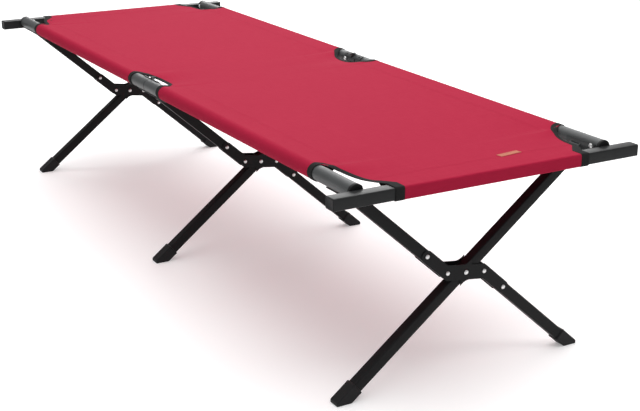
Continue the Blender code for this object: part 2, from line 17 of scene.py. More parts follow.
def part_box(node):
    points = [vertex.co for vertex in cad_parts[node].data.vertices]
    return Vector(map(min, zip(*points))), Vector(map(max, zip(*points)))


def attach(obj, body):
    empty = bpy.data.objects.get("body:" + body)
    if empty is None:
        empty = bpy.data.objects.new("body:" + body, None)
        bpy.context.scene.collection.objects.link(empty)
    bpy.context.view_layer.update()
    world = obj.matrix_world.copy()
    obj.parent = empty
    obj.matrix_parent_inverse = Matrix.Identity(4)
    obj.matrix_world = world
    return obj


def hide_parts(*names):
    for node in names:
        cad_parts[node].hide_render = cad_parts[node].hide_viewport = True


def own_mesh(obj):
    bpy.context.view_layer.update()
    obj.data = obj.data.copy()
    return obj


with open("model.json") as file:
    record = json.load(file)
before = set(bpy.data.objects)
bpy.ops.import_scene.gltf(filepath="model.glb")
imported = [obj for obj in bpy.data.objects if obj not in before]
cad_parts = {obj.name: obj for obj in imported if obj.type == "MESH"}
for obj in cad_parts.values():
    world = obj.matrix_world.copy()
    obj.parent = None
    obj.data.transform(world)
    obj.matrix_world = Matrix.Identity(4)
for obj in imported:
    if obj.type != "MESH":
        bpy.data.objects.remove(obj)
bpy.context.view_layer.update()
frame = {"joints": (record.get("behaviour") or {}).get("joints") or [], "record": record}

SIDES = {"left": -1, "right": 1}
ENDS = {"head": -1, "foot": 1}
FRAMES = ("head", "mid", "foot")
CORNERS = ((-1, -1), (1, -1), (1, 1), (-1, 1))

# Local axes for an outline drawn in the named plane and pushed along the third axis.
YZ = Matrix(((0, 0, 1, 0), (1, 0, 0, 0), (0, 1, 0, 0), (0, 0, 0, 1)))
ZX = Matrix(((0, 1, 0, 0), (0, 0, 1, 0), (1, 0, 0, 0), (0, 0, 0, 1)))


def axes_at(axes, place):
    """The matrix whose local axes are these three, at a place."""
    rows = [[*(axis[row] for axis in axes), place[row]] for row in range(3)]
    return Matrix(rows + [[0, 0, 0, 1]])


def middle(node):
    low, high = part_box(node)
    return (low + high) / 2


def size(node):
    low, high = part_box(node)
    return high - low


# The frame's own sizes.
RAIL_Y = middle("rail_right_foot").y
RAIL_Z = middle("rail_right_foot").z
RAIL_RADIUS = size("rail_right_foot").z / 2
RAIL_START, RAIL_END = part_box("rail_right_foot")[0].x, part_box("rail_right_foot")[1].x
PLUG_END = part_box("spreader_bar_foot")[0].x - 0.001
BAR_MIDDLE = middle("spreader_bar_foot")
BAR_SIZE = size("spreader_bar_foot")
BAR_INNER_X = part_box("spreader_bar_foot")[0].x
PLANES = {name: middle(f"leg_long_{name}").x for name in FRAMES}
CENTRE_Z = middle("centre_rivet_foot").z
TOP_Y = middle("leg_pivot_pin_right_foot").y
TOP_Z = middle("leg_pivot_pin_right_foot").z
LEG = size("leg_long_foot").x
BOLT_Z = middle("bracket_bolt_right_foot").z
HINGE_Z = middle("hinge_pin_right").z

# The angle past which an edge is shaded sharp.
SHARP = math.radians(35)

# Tubes.
WALL = 0.0015
RAIL_SIDES = 64
CORNER = 0.003
CORNER_STEPS = 5
RAIL_LIP = 0.0010
PLUG_DEPTH = 0.012
PLUG_FLANGE = 0.0045
PLUG_OVERLAP = 0.0006
PLUG_DISH = (0.0098, 0.0060)
PIN_Z = 0.483
PIN_RADIUS = 0.004
PIN_IN_BAR = 0.004
PIN_SLOT = 0.0065
PIN_CLEAR = 0.0003
SLOT_CUT = (0.004, 0.005)
BAR_CAP = 0.0018
BAR_CAP_DEPTH = 0.006
FIT = 0.0002

# Leg frames.
SPLIT_ANGLE = math.radians(41.6)
SPLIT_OFFSET = 0.0273
SPLIT_END = 0.024
LONG_ANGLE = math.atan2(RAIL_Z - CENTRE_Z, RAIL_Y)
TOP_BEYOND = 0.0135
LEG_SHORT = 0.026
PLATE_THICK = 0.002
PLATE_CLEAR = 0.0003
PLATE_NEAR = (-0.0483, 0.0064)
PLATE_FAR = (-0.1022, 0.0543)
PLATE_ARM = 0.0138
PLATE_WAIST = 0.0172
WING_START = -0.0085
WING_TIP = (0.0140, 0.0290)
WING_BEND = (0.0040, 0.0185)
WING_FOOT = 0.0150
RIVET = (0.005, 0.0024)
CENTRE_RIVET = (0.0055, 0.0026)
TOP_PIN = (0.0065, 0.0027)

# Brackets and bolts.
SADDLE_INNER = 0.0168
SADDLE_OUTER = 0.0198
SADDLE_TOP = 22
SADDLE_BOTTOM = -118
EAR_CLEAR = 0.0135
EAR_THICK = 0.0025
EAR_RADIUS = 0.013
EAR_RAIL_RADIUS = 0.0178
PAD_HALF = 0.010
PAD_HIGH = 0.0011
PAD_BOTTOM = -26
BRACKET_BEVEL = 0.0005
WEB_HALF = 0.013
WEB_THICK = 0.003
BOLT_WASHER = 0.0054
BOLT_HIGH = 0.0038
BOLT_HEAD = 0.0042
BOLT_SIDE = 0.0016
RECESS_HALF = (0.0019, 0.00045)
RECESS_DEPTH = 0.0011

# Mid-rail hinges.
LEAF_THICK = 0.002
LEAF_X = (0.0048, 0.042)
LEAF_ANGLES = (28, 78)
LEAF_CLEAR = 0.0003
LEAF_SCREW = [(0.0178, 0.0026), (0.0190, 0.0026), (0.0194, 0.0022), (0.0196, 0.0012)]
SCREW_SHARE = 0.72
KNUCKLE_RADIUS = 0.0034
LUG_REACH = (0.007, 0.012)
KNUCKLE_Y = {"head": (0.2985, 0.3030), "foot": (0.3033, 0.3078)}
LUG_LOW = {"head": 0.4999, "foot": 0.5027}

# Feet.
FOOT_HALF = 0.0145
FOOT_HALF_X = 0.015
FOOT_REACH = 0.013
FOOT_COLLAR = 0.050
FOOT_BEVEL = 0.0022
FOOT_BEAD = (0.0018, 0.0068)
BEAD_OUT = 0.0005

# Canvas: the deck, its cut-outs, the sleeves round the rails and the hems round the bars.
CLOTH = 0.0008
SLEEVE_RADIUS = 0.0180
SLEEVE_X = (0.083, 0.874)
SAG = 0.009
# Each free edge is (distance from the middle of the cot, half-width of the deck, height).
MID_EDGE = [(0.0, 0.2710, 0.4900), (0.030, 0.2735, 0.4908), (0.050, 0.2805, 0.4935)]
MID_EDGE += [(0.065, 0.2915, 0.4980), (0.076, 0.3025, 0.5020), (0.083, 0.3100, 0.5046)]
CORNER_EDGE = [(0.874, 0.3080, 0.5050), (0.885, 0.2940, 0.4985), (0.900, 0.2840, 0.4935)]
CORNER_EDGE += [(0.920, 0.2765, 0.4900), (0.940, 0.2720, 0.4890), (0.972, 0.2665, 0.4904)]
CORNER_EDGE += [(0.990, 0.2615, 0.4922), (1.005, 0.2540, 0.4934), (1.0205, 0.2450, 0.4943)]
DECK_END = CORNER_EDGE[-1][0]
HEM_HALF = 0.2435
HEM_CLEAR = 0.0013
HEM_CORNER = 0.0043
HEM_FLAT = (1.030, 1.040)
HEM_UNDER = 1.036
HEM_BULGE = 0.0003
HEM_TAB = (0.984, 0.970)
SEAM_REACH = 0.046
SEAM_TAB = 0.010
TAB_GAP = 0.0006
SEAM_GAP = 0.0002
DECK_COLUMNS = 30

# Puckers fade out over these lengths: (at the fold, at the bar), and end short of the bar.
PUCKER_FADE = (0.05, 0.03)
PUCKER_END = 1.015
PUCKER_HELD = 0.02
EDGE_RIPPLE = (0.00022, 0.05)
BROAD_RIPPLE = 0.0005
SLEEVE_RIPPLE = 0.00025

# Binding tape: its widths, where they change along the cot, and the angle between stations on a bend.
TAPE = 0.0006
TUCKED = TAPE * 0.3
EDGE_TAPE = 0.0088
MOUTH_TAPE = 0.0165
HEM_TAPE = 0.0205
DECK_MIDDLE = 0.5
MID_WIDENS = (0.055, SLEEVE_X[0])
CORNER_WIDENS = (0.902, SLEEVE_X[1])
HEM_WIDENS = (0.982, DECK_END)
FAN_STEP = 0.12

# Stitches.
STITCH = 0.0026
STITCH_STEP = 0.0036
STITCH_HALF = 0.00038
STITCH_HIGH = 0.00035
STITCH_ON_TAPE = TAPE * 0.8
THREAD_INSET = 0.0018
EDGE_THREAD_END = 1.006
HEM_THREAD = (1.024, 1.046)
HEM_THREAD_Z = (-0.008, 0.009)
SEAM_THREAD = (0.002, 0.0085)
CROSS_THREAD = (0.003, 0.0095)
MOUTH_THREAD = (96, 175)

# Label: blank, sewn on the deck near the foot end.
LABEL_PLACE = (0.970, 0.0935)
LABEL_SIZE = (0.058, 0.0165)
LABEL_TURN = math.radians(6.5)
LABEL_GRID = (6, 16)
LABEL_BORDER = 0.0018

# The camera, which looks along the cot from its foot end's left corner.
CAMERA_PLACE = (3.018, -1.555, 1.255)
CAMERA_RIGHT = (0.5009, 0.8655, 0.0033)
CAMERA_FORWARD = (-0.8194, 0.4755, -0.3203)
CAMERA_LENS = 72.19

# Each light: name, place, aim, width and height, and power in watts.
LIGHTS = [
    ("overhead_light", (0.1, 0.3, 3.6), (0, 0, 0.3), (6.0, 5.0), 235),
    ("back_light", (-3.6, 2.2, 2.1), (0, 0, 0.5), (3.5, 2.0), 75),
    ("front_light", (4.5, -2.4, 2.6), (0.3, 0, 0.4), (2.5, 2.0), 5),
]
FLOOR_HALF = 30
ROOM_LIGHT = 0.36
FLOOR_GLOW = 0.28


# ---- Materials ----


def socket_of(tree, value, target):
    """Links a socket to an input, or sets a number on it."""
    if isinstance(value, bpy.types.NodeSocket):
        tree.links.new(value, target)
    else:
        target.default_value = value


def maths(tree, operation, *values):
    made = tree.nodes.new("ShaderNodeMath")
    made.operation = operation
    for value, target in zip(values, made.inputs):
        socket_of(tree, value, target)
    return made.outputs[0]


def remap(tree, value, low, high):
    """A 0 to 1 value spread over another range."""
    made = tree.nodes.new("ShaderNodeMapRange")
    socket_of(tree, value, made.inputs["Value"])
    made.inputs["To Min"].default_value = low
    made.inputs["To Max"].default_value = high
    return made.outputs["Result"]


def noise(tree, place, scale, detail=3, stretch=(1, 1, 1)):
    """Fractal noise over the object's own coordinates, stretched where threads or brushing run."""
    mapping = tree.nodes.new("ShaderNodeMapping")
    mapping.inputs["Scale"].default_value = stretch
    tree.links.new(place, mapping.inputs["Vector"])
    made = tree.nodes.new("ShaderNodeTexNoise")
    made.inputs["Scale"].default_value = scale
    made.inputs["Detail"].default_value = detail
    tree.links.new(mapping.outputs["Vector"], made.inputs["Vector"])
    return made.outputs["Fac"]


def blend_colours(tree, share, first, second):
    made = tree.nodes.new("ShaderNodeMix")
    made.data_type = "RGBA"
    socket_of(tree, share, made.inputs["Factor"])
    for value, name in ((first, "A"), (second, "B")):
        target = next(i for i in made.inputs if i.name == name and i.type == "RGBA")
        socket_of(tree, (*value, 1) if isinstance(value, tuple) else value, target)
    return next(o for o in made.outputs if o.type == "RGBA")


def bump(tree, height, strength, distance):
    made = tree.nodes.new("ShaderNodeBump")
    made.inputs["Strength"].default_value = strength
    made.inputs["Distance"].default_value = distance
    tree.links.new(height, made.inputs["Height"])
    return made.outputs["Normal"]


def new_material(name, values):
    """A material with its Principled shader's uniform values set, and its tree, shader and coordinates."""
    made = bpy.data.materials.new(name)
    made.use_nodes = True
    tree = made.node_tree
    shader = tree.nodes["Principled BSDF"]
    for key, value in values.items():
        shader.inputs[key].default_value = value
    place = tree.nodes.new("ShaderNodeTexCoord").outputs["Object"]
    return made, tree, shader, place


def connect(tree, shader, colour, roughness, normal):
    tree.links.new(colour, shader.inputs["Base Color"])
    tree.links.new(roughness, shader.inputs["Roughness"])
    tree.links.new(normal, shader.inputs["Normal"])


def scaled(colour, factor):
    return tuple(c * factor for c in colour)


def powder_coat(name, colour, roughness, specular, grain):
    """Baked enamel powder: a fine pebbled skin, faint cloudiness and lighter rubbed patches."""
    made, tree, shader, place = new_material(name, {"Specular IOR Level": specular})
    cloud = noise(tree, place, 9, 4)
    speck = noise(tree, place, 900, 2)
    rub = remap(tree, noise(tree, place, 34, 6), -1.4, 1.6)
    rub = maths(tree, "MAXIMUM", maths(tree, "MINIMUM", rub, 1.0), 0.0)
    body = blend_colours(tree, cloud, scaled(colour, 0.86), scaled(colour, 1.14))
    body = blend_colours(tree, maths(tree, "MULTIPLY", rub, 0.22), body, scaled(colour, 1.7))
    mottle = maths(tree, "ADD", maths(tree, "MULTIPLY", speck, 0.6), maths(tree, "MULTIPLY", cloud, 0.4))
    rough = remap(tree, mottle, roughness - 0.07, roughness + 0.09)
    height = maths(tree, "ADD", noise(tree, place, 620, 2), maths(tree, "MULTIPLY", speck, 0.5))
    connect(tree, shader, body, rough, bump(tree, height, grain, 0.0003))
    return made


def moulded_plastic(name, colour, roughness):
    """Injection-moulded nylon: a fine spark-eroded texture with slight flow marks."""
    made, tree, shader, place = new_material(name, {"Specular IOR Level": 0.18})
    flow = noise(tree, place, 22, 3, (1, 1, 0.3))
    grain = noise(tree, place, 1500, 2)
    body = blend_colours(tree, flow, scaled(colour, 0.85), scaled(colour, 1.25))
    rough = remap(tree, flow, roughness - 0.06, roughness + 0.08)
    connect(tree, shader, body, rough, bump(tree, grain, 0.35, 0.0002))
    return made


def plated_steel(name, dull, bright):
    """Plated steel: soft brushed streaks and duller patches."""
    made, tree, shader, place = new_material(name, {"Metallic": 1.0})
    streak = noise(tree, place, 700, 3, (0.15, 1, 1))
    patch = noise(tree, place, 260, 3)
    body = blend_colours(tree, patch, dull, bright)
    rough = remap(tree, streak, 0.24, 0.42)
    connect(tree, shader, body, rough, bump(tree, streak, 0.12, 0.0001))
    return made


def weave(tree, place, pitch, along="X", across="Y"):
    """Height of a plain weave: rounded threads that cross over and under."""
    parts = tree.nodes.new("ShaderNodeSeparateXYZ")
    tree.links.new(place, parts.inputs[0])
    turn = 2 * math.pi / pitch
    waves = []
    for axis in (along, across):
        waves.append(maths(tree, "SINE", maths(tree, "MULTIPLY", parts.outputs[axis], turn)))
    return remap(tree, maths(tree, "MULTIPLY", *waves), 0.5, 1.0)


def woven_polyester(name, colour, along="X", across="Y"):
    """Dense coated polyester: a plain weave, slubbed threads, soft shade drift and a light sheen."""
    values = {"Sheen Weight": 0.08, "Sheen Roughness": 0.45, "Sheen Tint": (1.0, 0.10, 0.18, 1.0)}
    made, tree, shader, place = new_material(name, values)
    shader.inputs["Specular IOR Level"].default_value = 0.03
    threads = weave(tree, place, 0.0016, along, across)
    warp = noise(tree, place, 420, 3, (0.06, 1, 1))
    weft = noise(tree, place, 420, 3, (1, 0.06, 1))
    slub = maths(tree, "MULTIPLY", maths(tree, "ADD", warp, weft), 0.5)
    drift = noise(tree, place, 3.2, 4)
    body = blend_colours(tree, drift, scaled(colour, 0.94), scaled(colour, 1.05))
    body = blend_colours(tree, slub, body, scaled(colour, 0.78))
    rough = remap(tree, slub, 0.66, 0.86)
    height = maths(tree, "ADD", threads, maths(tree, "MULTIPLY", slub, 0.8))
    connect(tree, shader, body, rough, bump(tree, height, 0.28, 0.00022))
    return made


def webbing(name, colour, pitch):
    """Ribbed binding tape."""
    made, tree, shader, place = new_material(name, {"Sheen Weight": 0.02, "Sheen Roughness": 0.5})
    shader.inputs["Specular IOR Level"].default_value = 0.08
    ribs = weave(tree, place, pitch)
    fuzz = noise(tree, place, 800, 3)
    body = blend_colours(tree, fuzz, scaled(colour, 0.7), scaled(colour, 1.5))
    rough = remap(tree, fuzz, 0.78, 0.95)
    height = maths(tree, "ADD", ribs, maths(tree, "MULTIPLY", fuzz, 0.5))
    connect(tree, shader, body, rough, bump(tree, height, 0.5, 0.0003))
    return made


def studio_floor(name):
    made, tree, shader, place = new_material(name, {"Specular IOR Level": 0.1})
    tone = noise(tree, place, 0.5, 2)
    body = blend_colours(tree, tone, (0.81, 0.81, 0.81), (0.83, 0.83, 0.83))
    shader.inputs["Emission Color"].default_value = (1, 1, 1, 1)
    shader.inputs["Emission Strength"].default_value = FLOOR_GLOW
    connect(tree, shader, body, remap(tree, tone, 0.9, 0.95), bump(tree, tone, 0.02, 0.001))
    return made


# ---- Mesh tools ----


def arc(centre, radius, start, end, steps):
    """Points on a circle, from one angle to another in degrees."""
    angles = [math.radians(start + (end - start) * i / steps) for i in range(steps + 1)]
    return [(centre[0] + radius * math.cos(a), centre[1] + radius * math.sin(a)) for a in angles]


def circle(centre, radius, sides):
    return arc(centre, radius, 0, 360, sides)[:-1]


def rounded_rectangle(centre, width, height, radius, steps=CORNER_STEPS):
    corners = [(1, 1, 0), (-1, 1, 90), (-1, -1, 180), (1, -1, 270)]
    points = []
    for sx, sy, start in corners:
        corner = (centre[0] + sx * (width / 2 - radius), centre[1] + sy * (height / 2 - radius))
        points += arc(corner, radius, start, start + 90, steps)
    return points


def bend(start, control, end, steps):
    """Points of a quadratic curve, without its first point."""
    points = []
    for i in range(1, steps + 1):
        t = i / steps
        weighted = (((1 - t) ** 2, start), (2 * t * (1 - t), control), (t * t, end))
        points.append(tuple(sum(w * p[k] for w, p in weighted) for k in (0, 1)))
    return points


def cross_point(point, direction, other, other_direction):
    """Where two lines of a plane meet."""
    scale = direction[0] * other_direction[1] - direction[1] * other_direction[0]
    gap = (other[0] - point[0], other[1] - point[1])
    t = (gap[0] * other_direction[1] - gap[1] * other_direction[0]) / scale
    return (point[0] + t * direction[0], point[1] + t * direction[1])


def ring(mesh, outline, level, matrix):
    return [mesh.verts.new(matrix @ Vector((*point, level))) for point in outline]


def side_faces(mesh, low, high, closed=True):
    count = len(low)
    for i in range(count if closed else count - 1):
        j = (i + 1) % count
        mesh.faces.new((low[i], low[j], high[j], high[i]))


def solid(outline, low, high, matrix):
    """An outline pushed from one level to another."""
    mesh = bmesh.new()
    bottom = ring(mesh, outline, low, matrix)
    top = ring(mesh, outline, high, matrix)
    mesh.faces.new(bottom)
    mesh.faces.new(top)
    side_faces(mesh, bottom, top)
    return mesh


def skinned(mesh, loops, hollow=False):
    """Faces through loops of points. Both ends are closed or, when hollow, joined to each other."""
    for low, high in zip(loops, loops[1:]):
        side_faces(mesh, low, high)
    if hollow:
        side_faces(mesh, loops[-1], loops[0])
    else:
        mesh.faces.new(loops[0])
        mesh.faces.new(loops[-1])
    return mesh


def sheet_faces(mesh, rows):
    """Faces between rows of points, as one open sheet."""
    for low, high in zip(rows, rows[1:]):
        side_faces(mesh, low, high, closed=False)
    return mesh


def turned(centre, levels, matrix, sides=32, hollow=False):
    """A turned solid from (level, radius) pairs along its axis, or a ring where the pairs form a loop."""
    mesh = bmesh.new()
    loops = [ring(mesh, circle(centre, radius, sides), level, matrix) for level, radius in levels]
    return skinned(mesh, loops, hollow)


def tube(outline, wall_outline, low, high, matrix):
    """An open tube between two outlines with the same number of points."""
    mesh = bmesh.new()
    outer_low, outer_high = [ring(mesh, outline, level, matrix) for level in (low, high)]
    inner_low, inner_high = [ring(mesh, wall_outline, level, matrix) for level in (low, high)]
    side_faces(mesh, outer_low, outer_high)
    side_faces(mesh, inner_low, inner_high)
    side_faces(mesh, outer_low, inner_low)
    side_faces(mesh, outer_high, inner_high)
    return mesh


def made_object(name, mesh, finish, bevel=0.0, segments=2):
    """An object from a bmesh, shaded smooth, with its edges rounded."""
    bmesh.ops.recalc_face_normals(mesh, faces=mesh.faces)
    data = bpy.data.meshes.new(name)
    mesh.to_mesh(data)
    mesh.free()
    made = bpy.data.objects.new(name, data)
    bpy.context.scene.collection.objects.link(made)
    data.materials.append(finish)
    data.shade_smooth()
    data.set_sharp_from_angle(angle=SHARP)
    if bevel:
        round_edges(made, bevel, segments, SHARP)
    return made


def round_edges(made, width, segments, angle):
    modifier = made.modifiers.new("rounded_edges", "BEVEL")
    modifier.width = width
    modifier.segments = segments
    modifier.limit_method = "ANGLE"
    modifier.angle_limit = angle
    modifier.harden_normals = True


def bake_modifiers(made):
    """Puts the modifiers' result in the mesh itself, smooth apart from its sharp edges."""
    bpy.context.view_layer.update()
    graph = bpy.context.evaluated_depsgraph_get()
    baked = bpy.data.meshes.new_from_object(made.evaluated_get(graph))
    made.modifiers.clear()
    made.data = baked
    baked.shade_smooth()
    baked.set_sharp_from_angle(angle=SHARP)


def boolean(target, mesh, operation):
    """Joins a shape to an object, or cuts it away, at once."""
    other = made_object("boolean_helper", mesh, target.data.materials[0])
    modifier = target.modifiers.new("boolean", "BOOLEAN")
    modifier.object = other
    modifier.operation = operation
    bake_modifiers(target)
    bpy.data.objects.remove(other)


BODIES = frame["record"]["behaviour"]["bodies"]
BODY_OF = {node: body for body, nodes in BODIES.items() for node in nodes}


def stands_for(made, node):
    """The finished piece rides where its CAD node does, and is shown in its place."""
    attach(made, BODY_OF[node])
    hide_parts(node)
    return made


def goes_with(made, node):
    """A detail that rides where a CAD node does, beside the piece that stands for it."""
    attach(made, BODY_OF[node])
    return made


# ---- Rails and bars ----


def rail(side, end):
    """A round tube with lightly rounded lips."""
    sign = ENDS[end]
    node = f"rail_{side}_{end}"
    outer, inner = RAIL_RADIUS, RAIL_RADIUS - WALL
    levels = [(RAIL_START, inner + RAIL_LIP), (RAIL_START, outer - RAIL_LIP), (RAIL_START + RAIL_LIP, outer)]
    levels += [(RAIL_END - RAIL_LIP, outer), (RAIL_END, outer - RAIL_LIP), (RAIL_END, inner + RAIL_LIP)]
    levels += [(RAIL_END - RAIL_LIP, inner), (RAIL_START + RAIL_LIP, inner)]
    centre = (SIDES[side] * RAIL_Y, RAIL_Z)
    mesh = turned(centre, [(sign * x, r) for x, r in levels], YZ, RAIL_SIDES, hollow=True)
    stands_for(made_object(f"{node}_tube", mesh, RAIL_ENAMEL), node)


def rail_plug(side, end):
    """A cap with a rounded lip over the rail's end, and the pin that the bar sits on."""
    sign = ENDS[end]
    node = f"rail_plug_{side}_{end}"
    shank = RAIL_RADIUS - WALL - PIN_CLEAR - 0.002
    lip = RAIL_RADIUS + PLUG_OVERLAP
    flange = RAIL_END - PLUG_FLANGE
    levels = [(RAIL_END - PLUG_DEPTH, shank), (flange, shank), (flange, lip - 0.0008)]
    levels += [(flange + 0.0003, lip - 0.0002), (flange + 0.0009, lip), (PLUG_END - 0.0016, lip)]
    levels += [(PLUG_END - 0.0005, lip - 0.0006), (PLUG_END, lip - 0.0018), (PLUG_END, 0.0105)]
    levels += [(PLUG_END - 0.0006, radius) for radius in PLUG_DISH]
    mesh = turned((SIDES[side] * RAIL_Y, RAIL_Z), [(sign * x, r) for x, r in levels], YZ, 48)
    stands_for(made_object(f"{node}_cap", mesh, BLACK_PLASTIC), node)
    tip = BAR_INNER_X + PIN_IN_BAR
    levels = [(PLUG_END - PIN_RADIUS, PIN_RADIUS), (tip - 0.001, PIN_RADIUS)]
    levels += [(tip - 0.0003, PIN_RADIUS - 0.0004), (tip, PIN_RADIUS - 0.0011)]
    pin = turned((SIDES[side] * RAIL_Y, PIN_Z), [(sign * x, r) for x, r in levels], YZ, 24)
    goes_with(made_object(f"rail_pin_{side}_{end}", pin, BLACK_PLASTIC), node)


def pin_slot(sign, s):
    """The slot in a bar's inner face that one rail pin slides into."""
    low, high = sorted((sign * (BAR_INNER_X - SLOT_CUT[0]), sign * (BAR_INNER_X + SLOT_CUT[1])))
    near, far = sorted((s * RAIL_Y, s * (RAIL_Y - PIN_SLOT)))
    radius = PIN_RADIUS + PIN_CLEAR
    line = arc((near, PIN_Z), radius, 90, 270, 12) + arc((far, PIN_Z), radius, -90, 90, 12)
    return solid(line, low, high, YZ)


def bar_cap(side, end, centre, half):
    """A moulded stopper: a shank in the tube, then a flange with a rounded rim and a slight dish."""
    shank = WALL + FIT
    flange = half - BAR_CAP
    levels = [(flange - BAR_CAP_DEPTH, shank), (flange, shank), (flange, 0.0)]
    levels += [(half - 0.0009, 0.0), (half - 0.0003, 0.0004), (half, 0.0012), (half, 0.0045)]
    levels += [(half - 0.0004, 0.0052)]
    cap = bmesh.new()
    loops = []
    for y, inset in levels:
        radius = max(CORNER - inset, 0.0006)
        line = rounded_rectangle(centre, BAR_SIZE.z - 2 * inset, BAR_SIZE.x - 2 * inset, radius)
        loops.append(ring(cap, line, SIDES[side] * y, ZX))
    piece = made_object(f"bar_cap_{side}_{end}", skinned(cap, loops), BLACK_PLASTIC)
    goes_with(piece, f"spreader_bar_{end}")


def spreader_bar(end):
    """A flat tube with two slots in its inner face, and a cap in each end."""
    sign = ENDS[end]
    centre = (BAR_MIDDLE.z, sign * BAR_MIDDLE.x)
    outer = rounded_rectangle(centre, BAR_SIZE.z, BAR_SIZE.x, CORNER)
    inner = rounded_rectangle(centre, BAR_SIZE.z - 2 * WALL, BAR_SIZE.x - 2 * WALL, CORNER - WALL)
    half = BAR_SIZE.y / 2
    mesh = tube(outer, inner, -half + BAR_CAP, half - BAR_CAP, ZX)
    bar = made_object(f"spreader_bar_{end}_tube", mesh, BAR_ENAMEL)
    for s in SIDES.values():
        boolean(bar, pin_slot(sign, s), "DIFFERENCE")
    stands_for(bar, f"spreader_bar_{end}")
    for side in SIDES:
        bar_cap(side, end, centre, half)


# ---- Leg frames ----


def leg_axes(point, angle, direction):
    """Local axes of a leg: its length along Z, and the cot's length along X."""
    along = Vector((0, direction * math.cos(angle), -math.sin(angle)))
    across = Vector((0, along.z, -along.y))
    return axes_at((Vector((1, 0, 0)), across, along), point)


def split_axes(name, half):
    sign = {"upper": -1, "lower": 1}[half]
    y = sign * SPLIT_OFFSET * math.sin(SPLIT_ANGLE)
    z = CENTRE_Z + sign * SPLIT_OFFSET * math.cos(SPLIT_ANGLE)
    return leg_axes((PLANES[name], y, z), SPLIT_ANGLE, 1)


def leg_piece(node, low, high, axes):
    """A square tube with rounded corners."""
    outer = rounded_rectangle((0, 0), LEG, LEG, CORNER)
    inner = rounded_rectangle((0, 0), LEG - 2 * WALL, LEG - 2 * WALL, CORNER - WALL)
    made = made_object(f"{node}_tube", tube(outer, inner, low, high, axes), BLACK_ENAMEL)
    stands_for(made, node)


def end_plug(name, level, axes, node, inward):
    """A moulded stopper in a leg's open end."""
    width = LEG - 2 * (WALL + FIT)
    cap = bmesh.new()
    loops = []
    for depth, inset in ((0.010, 0.0), (-0.0002, 0.0), (-0.0008, 0.0006), (-0.0010, 0.0016)):
        line = rounded_rectangle((0, 0), width - 2 * inset, width - 2 * inset, CORNER - WALL)
        loops.append(ring(cap, line, level + inward * depth, axes))
    goes_with(made_object(name, skinned(cap, loops), BLACK_PLASTIC), node)


def foot(side, name, axes, floor, angle):
    """A moulded cap over a leg's lower end: a flat sole, an upright outer side and a beaded collar."""
    s = SIDES[side]
    plane = PLANES[name]
    y = (axes @ Vector((0, 0, floor))).y
    along = (s * math.cos(angle), -math.sin(angle))
    across = (s * math.sin(angle), math.cos(angle))
    over = (y + FOOT_HALF * across[0], FOOT_HALF * across[1])
    outline = [(y + s * FOOT_REACH, 0), cross_point(over, along, (y + s * FOOT_REACH, 0), (0, 1))]
    for k in (1, -1):
        outline.append((y + k * FOOT_HALF * across[0] - FOOT_COLLAR * along[0],
                        k * FOOT_HALF * across[1] - FOOT_COLLAR * along[1]))
    outline.append((y - s * FOOT_HALF / math.sin(angle), 0))
    mesh = solid(outline, plane - FOOT_HALF_X, plane + FOOT_HALF_X, YZ)
    node = f"foot_{side}_{name}"
    made = made_object(f"{node}_cap", mesh, BLACK_PLASTIC, FOOT_BEVEL, 4)
    stands_for(made, node)
    low, high = [floor - FOOT_COLLAR + up for up in FOOT_BEAD]
    line = rounded_rectangle((0, 0), 2 * (FOOT_HALF_X + BEAD_OUT), 2 * (FOOT_HALF + BEAD_OUT), 0.0032)
    hole = rounded_rectangle((0, 0), LEG + 0.001, LEG + 0.001, 0.0028)
    bead = made_object(f"{node}_bead", tube(line, hole, low, high, axes), BLACK_PLASTIC, 0.0007, 3)
    goes_with(bead, node)


def plate_outline():
    """Half of the joint plate's edge: a waist across the centre, an arm along each half leg, and a wing."""
    along = (math.cos(SPLIT_ANGLE), -math.sin(SPLIT_ANGLE))
    across = (math.sin(SPLIT_ANGLE), math.cos(SPLIT_ANGLE))
    waist = Vector((-PLATE_NEAR[0], -PLATE_NEAR[1])).normalized()
    over = (-waist.y * PLATE_WAIST, waist.x * PLATE_WAIST)
    upper_arm = (PLATE_FAR[0] + across[0] * PLATE_ARM, PLATE_FAR[1] + across[1] * PLATE_ARM)
    lower_arm = (-PLATE_FAR[0] + across[0] * PLATE_ARM, -PLATE_FAR[1] + across[1] * PLATE_ARM)
    slope = over[1] + waist.y / waist.x * (WING_START - over[0])
    rise = over[1] + waist.y / waist.x * (WING_FOOT - over[0])
    turn = math.degrees(SPLIT_ANGLE)
    points = [cross_point(upper_arm, along, over, waist), (WING_START, slope)]
    points += bend((WING_START, slope), WING_BEND, WING_TIP, 8)
    points += [(WING_FOOT, rise), cross_point(lower_arm, along, over, waist)]
    points += arc((-PLATE_FAR[0], -PLATE_FAR[1]), PLATE_ARM, 90 - turn, -90 - turn, 14)
    return points


def dome_levels(face, outward, head):
    """A rivet's domed head: a thin skirt, then a quarter ellipse."""
    radius, high = head
    skirt = 0.18 * high
    levels = [(face, radius * 0.98), (face + outward * skirt, radius)]
    for i in range(1, 8):
        a = math.radians(90 * i / 8)
        levels.append((face + outward * (skirt + (high - skirt) * math.sin(a)), radius * math.cos(a)))
    levels.append((face + outward * high, radius * 0.06))
    return levels


def rivet_places():
    return [(k * y, CENTRE_Z + k * z) for k in (1, -1) for y, z in (PLATE_NEAR, PLATE_FAR)]


def domes(name, places, faces, head, finish, node):
    """Domed heads at the given places, on one or two faces along X."""
    mesh = bmesh.new()
    for place in places:
        for face, outward in faces:
            part = turned(place, dome_levels(face, outward, head), YZ, 28)
            data = bpy.data.meshes.new("dome")
            part.to_mesh(data)
            part.free()
            mesh.from_mesh(data)
            bpy.data.meshes.remove(data)
    return goes_with(made_object(name, mesh, finish), node)


